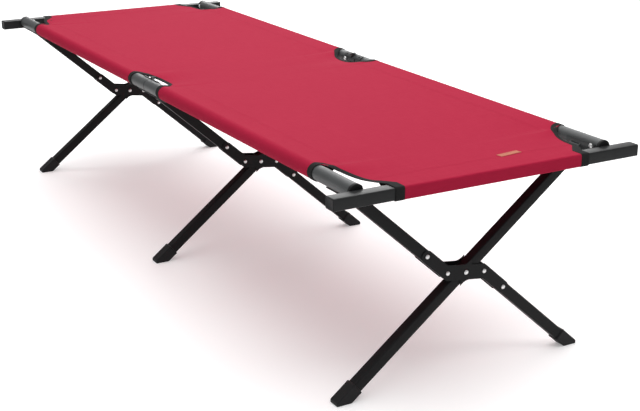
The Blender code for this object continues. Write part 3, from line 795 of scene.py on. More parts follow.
def joint_plates(name):
    """The two plates over the crossing, their rivets and the centre rivet between them."""
    plane = PLANES[name]
    half = plate_outline()
    outline = [(y, CENTRE_Z + z) for y, z in half + [(-y, -z) for y, z in half]]
    for face, sign in (("front", 1), ("rear", -1)):
        inside = plane + sign * (LEG / 2 + PLATE_CLEAR)
        node = f"joint_plate_{face}_{name}"
        mesh = solid(outline, inside, inside + sign * PLATE_THICK, YZ)
        made = made_object(f"{node}_sheet", mesh, BLACK_ENAMEL, 0.0006, 3)
        stands_for(made, node)
        outside = inside + sign * PLATE_THICK
        domes(f"rivets_{face}_{name}", rivet_places(), [(outside, sign)], RIVET, ZINC, node)
    outside = LEG / 2 + PLATE_CLEAR + PLATE_THICK
    node = f"centre_rivet_{name}"
    faces = [(plane + outside, 1), (plane - outside, -1)]
    made = domes(f"{node}_heads", [(0, CENTRE_Z)], faces, CENTRE_RIVET, ZINC, node)
    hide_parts(node)


def leg_frame(name):
    """One X: a split leg of two offset halves, one long leg, their stoppers, feet and joint plates."""
    top = math.cos(SPLIT_ANGLE) * TOP_Y + math.sin(SPLIT_ANGLE) * (TOP_Z - CENTRE_Z) + TOP_BEYOND
    upper = split_axes(name, "upper")
    leg_piece(f"leg_upper_{name}", -top, -SPLIT_END, upper)
    end_plug(f"leg_plug_upper_{name}", -top, upper, f"leg_upper_{name}", 1)
    end_plug(f"leg_plug_split_upper_{name}", -SPLIT_END, upper, f"leg_upper_{name}", -1)
    lower = split_axes(name, "lower")
    floor = (CENTRE_Z + SPLIT_OFFSET * math.cos(SPLIT_ANGLE)) / math.sin(SPLIT_ANGLE)
    leg_piece(f"leg_lower_{name}", SPLIT_END, floor - LEG_SHORT, lower)
    end_plug(f"leg_plug_split_lower_{name}", SPLIT_END, lower, f"leg_lower_{name}", 1)
    foot("right", name, lower, floor, SPLIT_ANGLE)
    long = leg_axes((PLANES[name], 0, CENTRE_Z), LONG_ANGLE, -1)
    top = math.cos(LONG_ANGLE) * TOP_Y + math.sin(LONG_ANGLE) * (TOP_Z - CENTRE_Z) + TOP_BEYOND
    floor = CENTRE_Z / math.sin(LONG_ANGLE)
    leg_piece(f"leg_long_{name}", -top, floor - LEG_SHORT, long)
    end_plug(f"leg_plug_long_{name}", -top, long, f"leg_long_{name}", 1)
    foot("left", name, long, floor, LONG_ANGLE)
    joint_plates(name)


# ---- Brackets, bolts and hinges ----


def ear_outline(s):
    """One ear, from the rail's underside to a round end about the leg's top pin."""
    across = RAIL_Y - TOP_Y
    fall = TOP_Z - RAIL_Z
    towards = math.degrees(math.atan2(fall, across))
    tangent = math.degrees(math.acos((SADDLE_OUTER - EAR_RADIUS) / math.hypot(across, fall)))
    points = arc((0, 0), EAR_RAIL_RADIUS, 2, SADDLE_BOTTOM + 6, 16)
    points += arc((0, 0), SADDLE_OUTER - 0.0005, SADDLE_BOTTOM + 2, towards - tangent, 3)
    points += arc((across, fall), EAR_RADIUS, towards - tangent, towards + tangent, 16)
    return [(s * (RAIL_Y - y), RAIL_Z + z) for y, z in points]


def web_outline(s):
    """The plate that joins the two ears, square to the line from rail to pin."""
    across = Vector((RAIL_Y - TOP_Y, TOP_Z - RAIL_Z)).normalized()
    along = Vector((-across.y, across.x))
    near = SADDLE_INNER + 0.0015
    corners = [(near, -1), (near, 1), (near + WEB_THICK, 1), (near + WEB_THICK, -1)]
    points = [across * a + along * b * WEB_HALF for a, b in corners]
    return [(s * (RAIL_Y - p.x), RAIL_Z + p.y) for p in points]


def curved_band(s, inner, outer, first, last, steps):
    """A band about the rail between two radii and two angles."""
    points = arc((0, 0), inner, first, last, steps) + arc((0, 0), outer, last, first, steps)
    return [(s * (RAIL_Y - y), RAIL_Z + z) for y, z in points]


def leg_bracket(side, name):
    """A pressed saddle with a raised pad round its bolt, two ears and the web between them."""
    s = SIDES[side]
    plane = PLANES[name]
    node = f"leg_bracket_{side}_{name}"
    low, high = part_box(node)[0].x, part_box(node)[1].x
    saddle = curved_band(s, SADDLE_INNER, SADDLE_OUTER, SADDLE_TOP, SADDLE_BOTTOM, 28)
    made = made_object(f"{node}_pressing", solid(saddle, low, high, YZ), BRACKET_ENAMEL)
    for sign in (-1, 1):
        faces = sorted((plane + sign * EAR_CLEAR, plane + sign * (EAR_CLEAR + EAR_THICK)))
        boolean(made, solid(ear_outline(s), *faces, YZ), "UNION")
    reach = EAR_CLEAR + EAR_THICK / 2
    boolean(made, solid(web_outline(s), plane - reach, plane + reach, YZ), "UNION")
    bolt = middle(f"bracket_bolt_{side}_{name}").x
    pad = curved_band(s, SADDLE_OUTER - 0.001, SADDLE_OUTER + PAD_HIGH, SADDLE_TOP - 1, PAD_BOTTOM, 12)
    boolean(made, solid(pad, bolt - PAD_HALF, bolt + PAD_HALF, YZ), "UNION")
    round_edges(made, BRACKET_BEVEL, 2, math.radians(40))
    stands_for(made, node)


def bracket_bolt(side, name):
    """A pan-head screw with a pressed washer and a cross recess."""
    s = SIDES[side]
    node = f"bracket_bolt_{side}_{name}"
    place = (BOLT_Z, middle(node).x)
    face = RAIL_Y - SADDLE_OUTER - PAD_HIGH
    levels = [(face + 0.0012, BOLT_WASHER - 0.0004), (face - 0.0002, BOLT_WASHER)]
    levels += [(face - 0.0007, BOLT_WASHER - 0.0003), (face - 0.0009, BOLT_HEAD)]
    levels += [(face - BOLT_SIDE, BOLT_HEAD)]
    crown = BOLT_HIGH - PAD_HIGH
    for i in range(1, 6):
        a = math.radians(90 * i / 6)
        levels.append((face - BOLT_SIDE - (crown - BOLT_SIDE) * math.sin(a), BOLT_HEAD * math.cos(a)))
    levels.append((face - crown, 0.0004))
    mesh = turned(place, [(s * y, r) for y, r in levels], ZX, 32)
    made = made_object(f"{node}_screw", mesh, ZINC)
    top = s * (face - crown)
    depths = sorted((top - s * 0.001, top + s * RECESS_DEPTH))
    for half in (RECESS_HALF[::-1], RECESS_HALF):
        line = [(place[0] + a * half[0], place[1] + b * half[1]) for a, b in CORNERS]
        boolean(made, solid(line, *depths, ZX), "DIFFERENCE")
    stands_for(made, node)


def pivot_pin(side, name):
    """The top pin's two domed heads and its shank."""
    node = f"leg_pivot_pin_{side}_{name}"
    plane = PLANES[name]
    centre = (SIDES[side] * TOP_Y, TOP_Z)
    inside = EAR_CLEAR + EAR_THICK
    right = dome_levels(plane + inside, 1, TOP_PIN)
    left = dome_levels(plane - inside, -1, TOP_PIN)
    levels = list(reversed(left)) + [(plane - inside, PIN_RADIUS), (plane + inside, PIN_RADIUS)] + right
    mesh = turned(centre, levels, YZ, 28)
    stands_for(made_object(f"{node}_rivet", mesh, BLACK_ENAMEL), node)


def hinge_leaf(side, end):
    """A curved leaf on a rail half's upper inner side, with its lug, knuckle and screw."""
    s, sign = SIDES[side], ENDS[end]
    node = f"hinge_leaf_{side}_{end}"
    centre = (s * RAIL_Y, RAIL_Z)
    angles = LEAF_ANGLES if side == "left" else [180 - a for a in LEAF_ANGLES]
    radius = RAIL_RADIUS + LEAF_CLEAR
    inner = arc(centre, radius, angles[0], angles[1], 12)
    outer = arc(centre, radius + LEAF_THICK, angles[1], angles[0], 12)
    low, high = [sign * x for x in LEAF_X]
    made = made_object(f"{node}_plate", solid(inner + outer, low, high, YZ), BRACKET_ENAMEL)
    near, far = [s * y for y in KNUCKLE_Y[end]]
    top = HINGE_Z + 0.001
    lug = [(LUG_LOW[end], 0), (top, 0), (top, sign * LUG_REACH[0]), (LUG_LOW[end], sign * LUG_REACH[1])]
    boolean(made, solid(lug, near, far, ZX), "UNION")
    boolean(made, solid(circle((HINGE_Z, 0), KNUCKLE_RADIUS, 28), near, far, ZX), "UNION")
    stands_for(made, node)
    x = sign * (LEAF_X[0] + SCREW_SHARE * (LEAF_X[1] - LEAF_X[0]))
    turn = math.radians(sum(angles) / 2)
    outward = Vector((0, math.cos(turn), math.sin(turn)))
    sideways = Vector((0, -outward.z, outward.y))
    head = turned((0, 0), LEAF_SCREW, axes_at((Vector((1, 0, 0)), sideways, outward), (x, *centre)), 20)
    goes_with(made_object(f"leaf_screw_{side}_{end}", head, BLACK_ENAMEL), node)


def hinge(side):
    """Two leaves and the pin through their knuckles."""
    for end in ENDS:
        hinge_leaf(side, end)
    node = f"hinge_pin_{side}"
    low, high = sorted((abs(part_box(node)[0].y), abs(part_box(node)[1].y)))
    levels = [(low, 0.0014), (low + 0.0004, 0.0022), (low + 0.0014, 0.0024), (low + 0.0015, 0.0014)]
    levels += [(high - 0.0003, 0.0014), (high, 0.0010)]
    mesh = turned((HINGE_Z, 0), [(SIDES[side] * y, r) for y, r in levels], ZX, 20)
    stands_for(made_object(f"{node}_rod", mesh, DARK_STEEL), node)


# ---- Canvas ----


def value_along(points, x, column):
    """A column of the points at x, on a smooth curve through them."""
    xs, values = [p[0] for p in points], [p[column] for p in points]
    slopes = np.gradient(values, xs)
    x = min(max(x, xs[0]), xs[-1])
    i = min(int(np.searchsorted(xs, x, "right")) - 1, len(xs) - 2)
    step = xs[i + 1] - xs[i]
    t = (x - xs[i]) / step
    start = (1 + 2 * t) * (1 - t) ** 2 * values[i] + t * (1 - t) ** 2 * step * slopes[i]
    return float(start + t * t * (3 - 2 * t) * values[i + 1] + t * t * (t - 1) * step * slopes[i + 1])


def deck_edge(x):
    """Half-width of the deck at a distance from the middle of the cot."""
    if x < SLEEVE_X[0]:
        return value_along(MID_EDGE, x, 1)
    if x <= SLEEVE_X[1]:
        return EDGE_Y
    if x >= DECK_END:
        return HEM_HALF
    return value_along(CORNER_EDGE, x, 1)


def edge_height(x):
    """Height of the deck's edge: on the rails at the sleeves, and a little lower at the cut-outs."""
    if x < SLEEVE_X[0]:
        return value_along(MID_EDGE, x, 2)
    if x <= SLEEVE_X[1]:
        return EDGE_TOP
    return value_along(CORNER_EDGE, x, 2)


EDGE_SLOPE = math.atan(2 * SAG / RAIL_Y)
EDGE_Y = RAIL_Y - SLEEVE_RADIUS * math.sin(EDGE_SLOPE)
EDGE_TOP = RAIL_Z + SLEEVE_RADIUS * math.cos(EDGE_SLOPE)
HEM_TOP = BAR_MIDDLE.z + BAR_SIZE.z / 2 + HEM_CLEAR


def deck_stations():
    """Distances from the middle where the deck has a row of points, closer together at the cut-outs."""
    near = np.linspace(0, SLEEVE_X[0] - SEAM_GAP, 18)
    long = np.linspace(SLEEVE_X[0] + SEAM_GAP, SLEEVE_X[1] - SEAM_GAP, 52)
    far = np.linspace(SLEEVE_X[1] + SEAM_GAP, DECK_END, 26)
    return np.concatenate([near, long, far, [DECK_END + 0.001]])


def stretched_heights(xs, widths):
    """Heights of a stretched membrane under a light even load, held along its edges and on the bar."""
    rows, columns = len(xs), DECK_COLUMNS + 1
    ys = widths[:, None] * np.linspace(0, 1, columns)[None, :]
    load = 2 * SAG / RAIL_Y**2
    index = np.arange(rows * columns).reshape(rows, columns)
    matrix = np.zeros((rows * columns, rows * columns))
    right = np.zeros(rows * columns)
    cell_x = np.gradient(xs)
    cell_x[0] /= 2
    for i in range(rows):
        step_y = widths[i] / DECK_COLUMNS
        for j in range(columns):
            here = index[i, j]
            if j == columns - 1 or i == rows - 1:
                matrix[here, here] = 1
                right[here] = HEM_TOP if i == rows - 1 else edge_height(xs[i])
                continue
            area_y = step_y if j else step_y / 2
            pulls = [(index[i, k], cell_x[i] / step_y) for k in (j - 1, j + 1) if k >= 0]
            pulls += [(index[k, j], area_y / abs(xs[k] - xs[i])) for k in (i - 1, i + 1) if k >= 0]
            for other, pull in pulls:
                matrix[here, other] -= pull
                matrix[here, here] += pull
            right[here] = -load * cell_x[i] * area_y
    return ys, np.linalg.solve(matrix, right).reshape(rows, columns)


def ease(t):
    """A smooth step from 0 to 1, level at both ends."""
    t = min(1, max(0, t))
    return t * t * (3 - 2 * t)


def puckers(x, y):
    """Faint tension folds: long ripples along the sleeves and finer ones by the cut-outs."""
    inboard = EDGE_Y - min(abs(y), EDGE_Y)
    edge = math.exp(-inboard / EDGE_RIPPLE[1])
    ripple = math.sin(x * 41 + 1.3) * 0.55 + math.sin(x * 97 + 0.4) * 0.3
    ripple += math.sin(x * 23 - y * 9) * 0.5
    broad = math.sin(x * 5.1 + y * 3.7 + 0.8) * math.sin(y * 7.3 + 0.5)
    held = min(1, inboard / PUCKER_HELD)
    return held * (EDGE_RIPPLE[0] * edge * ripple + BROAD_RIPPLE * broad)


class Deck:
    """The deck's height everywhere, from a membrane solved once for a quarter of the cot."""

    def __init__(self):
        self.xs = deck_stations()
        self.widths = np.array([deck_edge(x) for x in self.xs])
        self.ys, self.heights = stretched_heights(self.xs, self.widths)

    def height(self, x, y):
        """x is the distance from the middle, and y may be on either side."""
        at = np.interp(x, self.xs, np.arange(len(self.xs)))
        at = float(np.clip(at, 0, len(self.xs) - 1.001))
        i = int(at)
        t = at - i
        a = np.interp(abs(y), self.ys[i], self.heights[i])
        b = np.interp(abs(y), self.ys[i + 1], self.heights[i + 1])
        return float(a * (1 - t) + b * t)

    def shown_height(self, sign, x, y):
        """The height with its puckers, which fade out at the fold and on the bar."""
        fade = ease(x / PUCKER_FADE[0]) * ease((PUCKER_END - x) / PUCKER_FADE[1])
        return self.height(x, y) + fade * puckers(sign * x, y)

    def tab_height(self, x, y):
        """The height of a tab sewn under the deck."""
        return self.height(x, y) - CLOTH - TAB_GAP


def hem_path():
    """(x, z) over the bar, down its outer side, under it and up to the tab, as the cloth's outer face."""
    outer_x = BAR_MIDDLE.x + BAR_SIZE.x / 2 + HEM_CLEAR
    bottom = BAR_MIDDLE.z - BAR_SIZE.z / 2 - HEM_CLEAR
    inner_x = BAR_INNER_X - HEM_CLEAR
    points = [(x, HEM_TOP) for x in HEM_FLAT]
    points += arc((outer_x - HEM_CORNER, HEM_TOP - HEM_CORNER), HEM_CORNER, 90, 0, 7)
    points += [(outer_x + HEM_BULGE, BAR_MIDDLE.z + 0.004), (outer_x + HEM_BULGE, BAR_MIDDLE.z - 0.004)]
    points += arc((outer_x - HEM_CORNER, bottom + HEM_CORNER), HEM_CORNER, 0, -90, 7)
    points += [(HEM_UNDER, bottom), (inner_x + HEM_CORNER + 0.002, bottom)]
    points += arc((inner_x + HEM_CORNER, bottom + HEM_CORNER), HEM_CORNER, -95, -135, 4)
    return points


def hem_line(deck, y):
    """(x, z) of the hem at a distance from the middle, ending in its tab under the deck."""
    points = hem_path()
    start = points[-1]
    end = deck.tab_height(HEM_TAB[0], y)
    for t in (0.3, 0.6, 1.0):
        points.append((start[0] + t * (HEM_TAB[0] - start[0]), start[1] + t * (end - start[1])))
    points += [(x, deck.tab_height(x, y)) for x in (HEM_TAB[0] - 0.005, HEM_TAB[1])]
    return points


def deck_surface(sign, deck):
    """The cloth of one half: deck, then the hem round the bar and its tab under the deck."""
    mesh = bmesh.new()
    shares = np.linspace(-1, 1, 2 * DECK_COLUMNS + 1)
    rows = []
    for x, width in zip(deck.xs, deck.widths):
        rows.append([(sign * x, v * width, deck.shown_height(sign, x, v * width)) for v in shares])
    hems = [[(sign * x, v * HEM_HALF, z) for x, z in hem_line(deck, v * HEM_HALF)] for v in shares]
    rows += [list(row) for row in zip(*hems)]
    return sheet_faces(mesh, [[mesh.verts.new(point) for point in row] for row in rows])


def flat_area(mesh):
    return sum(face.calc_area() for face in mesh.faces)


def cloth_object(name, mesh, finish, outward, thickness=CLOTH):
    """A cloth surface, thickened behind the side that faces outward at its first face."""
    bmesh.ops.recalc_face_normals(mesh, faces=mesh.faces)
    mesh.faces.ensure_lookup_table()
    mesh.normal_update()
    if mesh.faces[0].normal.dot(Vector(outward)) < 0:
        bmesh.ops.reverse_faces(mesh, faces=mesh.faces)
    data = bpy.data.meshes.new(name)
    mesh.to_mesh(data)
    mesh.free()
    made = bpy.data.objects.new(name, data)
    bpy.context.scene.collection.objects.link(made)
    data.materials.append(finish)
    modifier = made.modifiers.new("cloth_thickness", "SOLIDIFY")
    modifier.thickness = thickness
    modifier.offset = -1
    bake_modifiers(made)
    return made


def squashed(made):
    """Gives a piece that lies across the cot its own copy of its mesh."""
    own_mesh(made)
    return made


def closed_share():
    """How far apart the rails are when the cot is closed, as a share of their open spacing."""
    half = math.hypot(TOP_Y, TOP_Z - CENTRE_Z)
    start = math.atan2(TOP_Z - CENTRE_Z, TOP_Y)
    joint = next(j for j in frame["joints"] if j["name"] == "side_close")
    turn = math.radians(max(joint["range_deg"]))
    return (half * math.cos(start + turn) + RAIL_Y - TOP_Y) / RAIL_Y


CLOSED_SHARE = closed_share()


def sleeve_line(x, deck):
    """(y, z) round the right sleeve: from the deck's edge about the rail, then up to its tab."""
    start = 90 - math.degrees(EDGE_SLOPE)
    rise = EDGE_TOP - RAIL_Z - 0.0062 - CLOTH
    spread = math.hypot(SEAM_REACH, rise)
    last = math.degrees(math.atan2(rise, SEAM_REACH) - math.acos(SLEEVE_RADIUS / spread)) + 360
    ripple = SLEEVE_RIPPLE * (math.sin(x * 61) + 0.6 * math.sin(x * 143))
    points = arc((0, 0), SLEEVE_RADIUS, start, start + 8, 4)
    points += arc((0, 0), SLEEVE_RADIUS, start + 14, last, 40)
    line = []
    for k, (inboard, up) in enumerate(points):
        loose = max(0, (k - 30) / 16)
        line.append((RAIL_Y - inboard, RAIL_Z + up - loose * (0.0008 + ripple)))
    under = RAIL_Y - SEAM_REACH
    y, z = line[-1]
    top = deck.tab_height(x, under)
    for t in (0.2, 0.4, 0.6, 0.8):
        line.append((y + t * (under - y), z + t * (top - z) - 2 * ripple * math.sin(math.pi * t)))
    for across in (0, SEAM_TAB / 2, SEAM_TAB):
        line.append((under - across, deck.tab_height(x, under - across)))
    return line


def sleeve_surface(side, end, deck):
    """Cloth round a rail half: a snug wrap, then a flat run up to its tab under the deck."""
    s, sign = SIDES[side], ENDS[end]
    mesh = bmesh.new()
    rows = []
    for x in np.linspace(*SLEEVE_X, 72):
        rows.append([mesh.verts.new((sign * x, s * y, z)) for y, z in sleeve_line(x, deck)])
    return sheet_faces(mesh, rows)


def tape_section(width, under):
    """(distance inward, height over the cloth) round the tape: its top, its fold and its underside."""
    over = [(width, TAPE * 0.7), (width * 0.75, TAPE), (width / 2, TAPE), (width / 4, TAPE), (0.0010, TAPE)]
    fold = [(-0.0008, 0.0001), (-0.0010, -CLOTH / 2), (-0.0008, -CLOTH - 0.0001)]
    below = [(0.0010, -CLOTH - under), (width / 2, -CLOTH - under), (width, -CLOTH - under * 0.6)]
    return over + fold + below


def binding(stations, sign, s):
    """Tape over an edge, through stations of (a function of the distance inward, up, width, underside)."""
    mesh = bmesh.new()
    loops = []
    for place, up, width, under in stations:
        loop = []
        for across, high in tape_section(width, under):
            x, y, z = place(across) + np.array(up) * high
            loop.append(mesh.verts.new((sign * max(x, 0), s * y, z)))
        loops.append(loop)
    return skinned(mesh, loops)


def edge_line(first, last, count):
    """Points (x, y) along a free edge of the deck, with its inward normal at each."""
    points = [np.array((x, deck_edge(x))) for x in np.linspace(first, last, count)]
    if first == 0:
        out = np.linspace(MID_EDGE[-1][1] + 0.001, EDGE_Y, 3)
        points += [np.array((SLEEVE_X[0], y)) for y in out]
    else:
        back = np.linspace(EDGE_Y, CORNER_EDGE[0][1] + 0.002, 3)
        points = [np.array((SLEEVE_X[1], y)) for y in back] + points
    normals = []
    for i in range(len(points)):
        step = points[min(i + 1, len(points) - 1)] - points[max(i - 1, 0)]
        normals.append(np.array((step[1], -step[0])) / np.linalg.norm(step))
    return fanned(points, normals)


def fanned(points, normals):
    """The same line, with points added where its normal turns sharply."""
    all_points, all_normals = points[:1], normals[:1]
    for i in range(1, len(points)):
        turn = math.acos(min(1, normals[i] @ normals[i - 1]))
        parts = 1 + int(turn / FAN_STEP)
        for k in range(1, parts + 1):
            normal = normals[i - 1] + (normals[i] - normals[i - 1]) * k / parts
            all_points.append(points[i - 1] + (points[i] - points[i - 1]) * k / parts)
            all_normals.append(normal / np.linalg.norm(normal))
    return all_points, all_normals


def passed(x, span):
    """0 before a span of x, 1 after it, and eased between. The span may run either way."""
    return ease((x - span[0]) / (span[1] - span[0]))


def tape_width(x):
    """The binding widens from the free edges into the mouths of the sleeves and of the hem."""
    mouth = passed(x, MID_WIDENS if x < DECK_MIDDLE else CORNER_WIDENS)
    return EDGE_TAPE + (MOUTH_TAPE - EDGE_TAPE) * mouth + (HEM_TAPE - EDGE_TAPE) * passed(x, HEM_WIDENS)


def edge_stations(deck, sign, s, first, last, count):
    """Stations of a binding along a free edge."""
    stations = []
    points, normals = edge_line(first, last, count)
    for point, normal in zip(points, normals):
        turned_in = passed(point[0], HEM_WIDENS)
        normal = normal * (1 - turned_in) + np.array((0, -1)) * turned_in
        normal = normal / np.linalg.norm(normal)

        def place(across, point=point, normal=normal):
            x, y = point + normal * across
            x = max(x, 0)
            return np.array((x, y, deck.shown_height(sign, x, s * min(y, deck_edge(x)))))

        stations.append((place, (0, 0, 1), tape_width(point[0]), TAPE))
    return stations


def mid_binding(deck, sign, s):
    """Tape along half of a mid cut-out's free edge, as far as the fold."""
    return binding(edge_stations(deck, sign, s, 0, SLEEVE_X[0] - 0.001, 22), sign, s)


def corner_binding(deck, sign, s):
    """One tape along the corner's free edge and on round the hem's mouth."""
    stations = edge_stations(deck, sign, s, SLEEVE_X[1] + 0.001, DECK_END, 34)
    line = [np.array(p) for p in hem_line(deck, HEM_HALF)]
    for i, point in enumerate(line):
        step = line[min(i + 1, len(line) - 1)] - line[max(i - 1, 0)]
        normal = (-step[1], 0, step[0]) / np.linalg.norm(step)

        def place(across, point=point):
            return np.array((point[0], HEM_HALF - across, point[1]))

        stations.append((place, normal, HEM_TAPE, TUCKED))
    return binding(stations, sign, s)


def mouth_binding(deck, sign, s, mouth, inward):
    """Tape round a sleeve's mouth."""
    stations = []
    lines = {}
    line = [np.array(p) for p in sleeve_line(mouth, deck)]
    for i, point in enumerate(line):
        step = line[min(i + 1, len(line) - 1)] - line[max(i - 1, 0)]
        normal = np.array((0, -step[1], step[0])) / np.linalg.norm(step)
        outward = np.array((0, point[0] - RAIL_Y, point[1] - RAIL_Z))
        normal = normal if normal @ outward > 0 else -normal

        def place(across, i=i):
            x = mouth + inward * across
            if across not in lines:
                lines[across] = sleeve_line(x, deck)
            return np.array((x, *lines[across][i]))

        stations.append((place, normal, MOUTH_TAPE, TUCKED))
    return binding(stations, sign, s)


def add_stitch(mesh, place, along, up):
    """One raised stitch: a lozenge with its ends in the cloth."""
    along, up = Vector(along).normalized(), Vector(up).normalized()
    across = up.cross(along)
    place = Vector(place)
    sides = [(-1, 0, -0.4), (1, 0, -0.4), (-0.5, 1, 0.2), (0.5, 1, 0.2), (0.5, 0, 1), (-0.5, 0, 1)]
    sides += [(-0.5, -1, 0.2), (0.5, -1, 0.2), (-0.5, 0, -0.6), (0.5, 0, -0.6)]
    corners = []
    for forward, side, high in sides:
        spot = along * (forward * STITCH / 2) + across * (side * STITCH_HALF) + up * (high * STITCH_HIGH)
        corners.append(mesh.verts.new(place + spot))
    start, end, a, b, c, d, e, f, low_start, low_end = corners
    faces = [(a, b, c, d), (d, c, f, e), (start, a, d), (start, d, e), (end, c, b), (end, f, c)]
    faces += [(a, low_start, low_end, b), (e, f, low_end, low_start), (start, low_start, a)]
    faces += [(start, e, low_start), (end, b, low_end), (end, low_end, f)]
    for face in faces:
        mesh.faces.new(face)


def stitch_line(mesh, start, end, height):
    """Stitches on the deck between two (x, y) points, at the height that the function gives."""
    start, end = np.array(start, float), np.array(end, float)
    count = int(np.linalg.norm(end - start) / STITCH_STEP)
    direction = (end - start) / np.linalg.norm(end - start)
    for i in range(count):
        x, y = start + direction * (i + 0.5) * STITCH_STEP
        add_stitch(mesh, (x, y, height(x, y)), (*direction, 0), (0, 0, 1))


def deck_stitches(sign, deck):
    """Two rows of thread along each sleeve's seam, and two across the deck beside the hem."""
    mesh = bmesh.new()

    def top(x, y):
        return deck.shown_height(sign, abs(x), y)

    first, last = sign * (SLEEVE_X[0] + 0.001), sign * (SLEEVE_X[1] - 0.001)
    for s in SIDES.values():
        for beyond in SEAM_THREAD:
            y = s * (RAIL_Y - SEAM_REACH - beyond)
            stitch_line(mesh, (first, y), (last, y), top)
    for beyond in CROSS_THREAD:
        x = HEM_TAB[0] - beyond
        half = deck_edge(x) - tape_width(x) - 0.003
        stitch_line(mesh, (sign * x, -half), (sign * x, half), top)
    return mesh


def edge_stitches(mesh, sign, s, deck, span):
    """Thread near the inner edge of the tape on one free edge."""
    points, normals = edge_line(*span, 60)
    line = [p + n * (tape_width(p[0]) - THREAD_INSET) for p, n in zip(points, normals)]
    travelled = 0
    for a, b in zip(line, line[1:]):
        step = b - a
        travelled += np.linalg.norm(step)
        if travelled < STITCH_STEP or step[0] < 0:
            continue
        travelled = 0
        x, y = (a + b) / 2
        if x >= 0.002:
            z = deck.shown_height(sign, x, s * y) + STITCH_ON_TAPE
            add_stitch(mesh, (sign * x, s * y, z), (sign * step[0], s * step[1], 0), (0, 0, 1))


def tape_stitches(sign, deck):
    """Black thread along the bindings of the cut-outs and of the hem's mouths."""
    mesh = bmesh.new()
    outer_x = BAR_MIDDLE.x + BAR_SIZE.x / 2 + HEM_CLEAR + HEM_BULGE + STITCH_ON_TAPE
    for s in SIDES.values():
        edge_stitches(mesh, sign, s, deck, (0, SLEEVE_X[0] - 0.002))
        edge_stitches(mesh, sign, s, deck, (SLEEVE_X[1] + 0.002, EDGE_THREAD_END))
        y = s * (HEM_HALF - HEM_TAPE + 0.003)
        for x in np.arange(*HEM_THREAD, STITCH_STEP):
            add_stitch(mesh, (sign * x, y, HEM_TOP + STITCH_ON_TAPE), (1, 0, 0), (0, 0, 1))
        for up in np.arange(*HEM_THREAD_Z, STITCH_STEP):
            add_stitch(mesh, (sign * outer_x, y, BAR_MIDDLE.z + up), (0, 0, 1), (sign, 0, 0))
    return mesh


def mouth_stitches(side, end):
    """Black thread round a sleeve's two bound mouths."""
    s, sign = SIDES[side], ENDS[end]
    mesh = bmesh.new()
    radius = SLEEVE_RADIUS + STITCH_ON_TAPE
    step = math.degrees(STITCH_STEP / radius)
    for x in (SLEEVE_X[0] + MOUTH_TAPE - 0.002, SLEEVE_X[1] - MOUTH_TAPE + 0.002):
        for i in range(int(MOUTH_THREAD[1] / step)):
            a = math.radians(MOUTH_THREAD[0] + i * step)
            up = (0, -s * math.cos(a), math.sin(a))
            along = (0, s * math.sin(a), math.cos(a))
            place = (sign * x, s * RAIL_Y + radius * up[1], RAIL_Z + radius * up[2])
            add_stitch(mesh, place, along, up)
    return mesh


def label(deck):
    """A small blank woven tab, laid on the deck, with a stitched border."""
    half_y, half_x = LABEL_SIZE[0] / 2, LABEL_SIZE[1] / 2
    cosine, sine = math.cos(LABEL_TURN), math.sin(LABEL_TURN)
    turn = np.array([(cosine, -sine), (sine, cosine)])

    def spot(a, b):
        return turn @ np.array((a, b)) + LABEL_PLACE

    def top(x, y):
        return deck.shown_height(1, x, y) + 0.0008

    mesh = bmesh.new()
    rows = []
    for a in np.linspace(-half_x, half_x, LABEL_GRID[0] + 1):
        places = [spot(a, b) for b in np.linspace(-half_y, half_y, LABEL_GRID[1] + 1)]
        rows.append([mesh.verts.new((x, y, deck.shown_height(1, x, y) + 0.0007)) for x, y in places])
    made = cloth_object("label_tab", sheet_faces(mesh, rows), LABEL_CLOTH, (0, 0, 1), 0.0006)
    border = bmesh.new()
    corners = [spot(a * (half_x - LABEL_BORDER), b * (half_y - LABEL_BORDER)) for a, b in CORNERS]
    for first, second in zip(corners, corners[1:] + corners[:1]):
        stitch_line(border, first, second, top)
    thread = made_object("label_stitches", border, LABEL_THREAD)
    for piece in (made, thread):
        squashed(goes_with(piece, "canvas_foot"))
    return made, thread


def canvas(end, deck):
    """One half of the canvas: deck and hem, bindings and stitches, and a sleeve round each rail half."""
    sign = ENDS[end]
    node = f"canvas_{end}"
    mesh = deck_surface(sign, deck)
    area = flat_area(mesh)
    cloth = cloth_object(f"canvas_deck_{end}", mesh, CRIMSON, (0, 0, 1))
    squashed(stands_for(cloth, node))
    extras = []
    for side, s in SIDES.items():
        for where, taped in (("mid", mid_binding), ("corner", corner_binding)):
            extras.append(made_object(f"{where}_binding_{side}_{end}", taped(deck, sign, s), BLACK_TAPE))
    extras.append(made_object(f"deck_stitches_{end}", deck_stitches(sign, deck), CRIMSON_THREAD))
    extras.append(made_object(f"binding_stitches_{end}", tape_stitches(sign, deck), BLACK_THREAD))
    for piece in extras:
        squashed(goes_with(piece, node))
    if end == "foot":
        extras += label(deck)
    for side in SIDES:
        sleeve(side, end, deck)


def sleeve(side, end, deck):
    """The sleeve round one rail half, with the tape and thread of its two mouths."""
    body = f"frame_{side}_{end}"
    mesh = sleeve_surface(side, end, deck)
    area = flat_area(mesh)
    cloth = cloth_object(f"canvas_sleeve_{side}_{end}", mesh, CRIMSON_SIDE, (0, 0, 1))
    extras = []
    for where, x, inward in (("mid", SLEEVE_X[0], 1), ("end", SLEEVE_X[1], -1)):
        tape = mouth_binding(deck, ENDS[end], SIDES[side], x, inward)
        extras.append(made_object(f"{where}_mouth_binding_{side}_{end}", tape, BLACK_TAPE))
    extras.append(made_object(f"mouth_stitches_{side}_{end}", mouth_stitches(side, end), BLACK_THREAD))
    for piece in [cloth, *extras]:
        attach(piece, body)


# ---- Studio ----


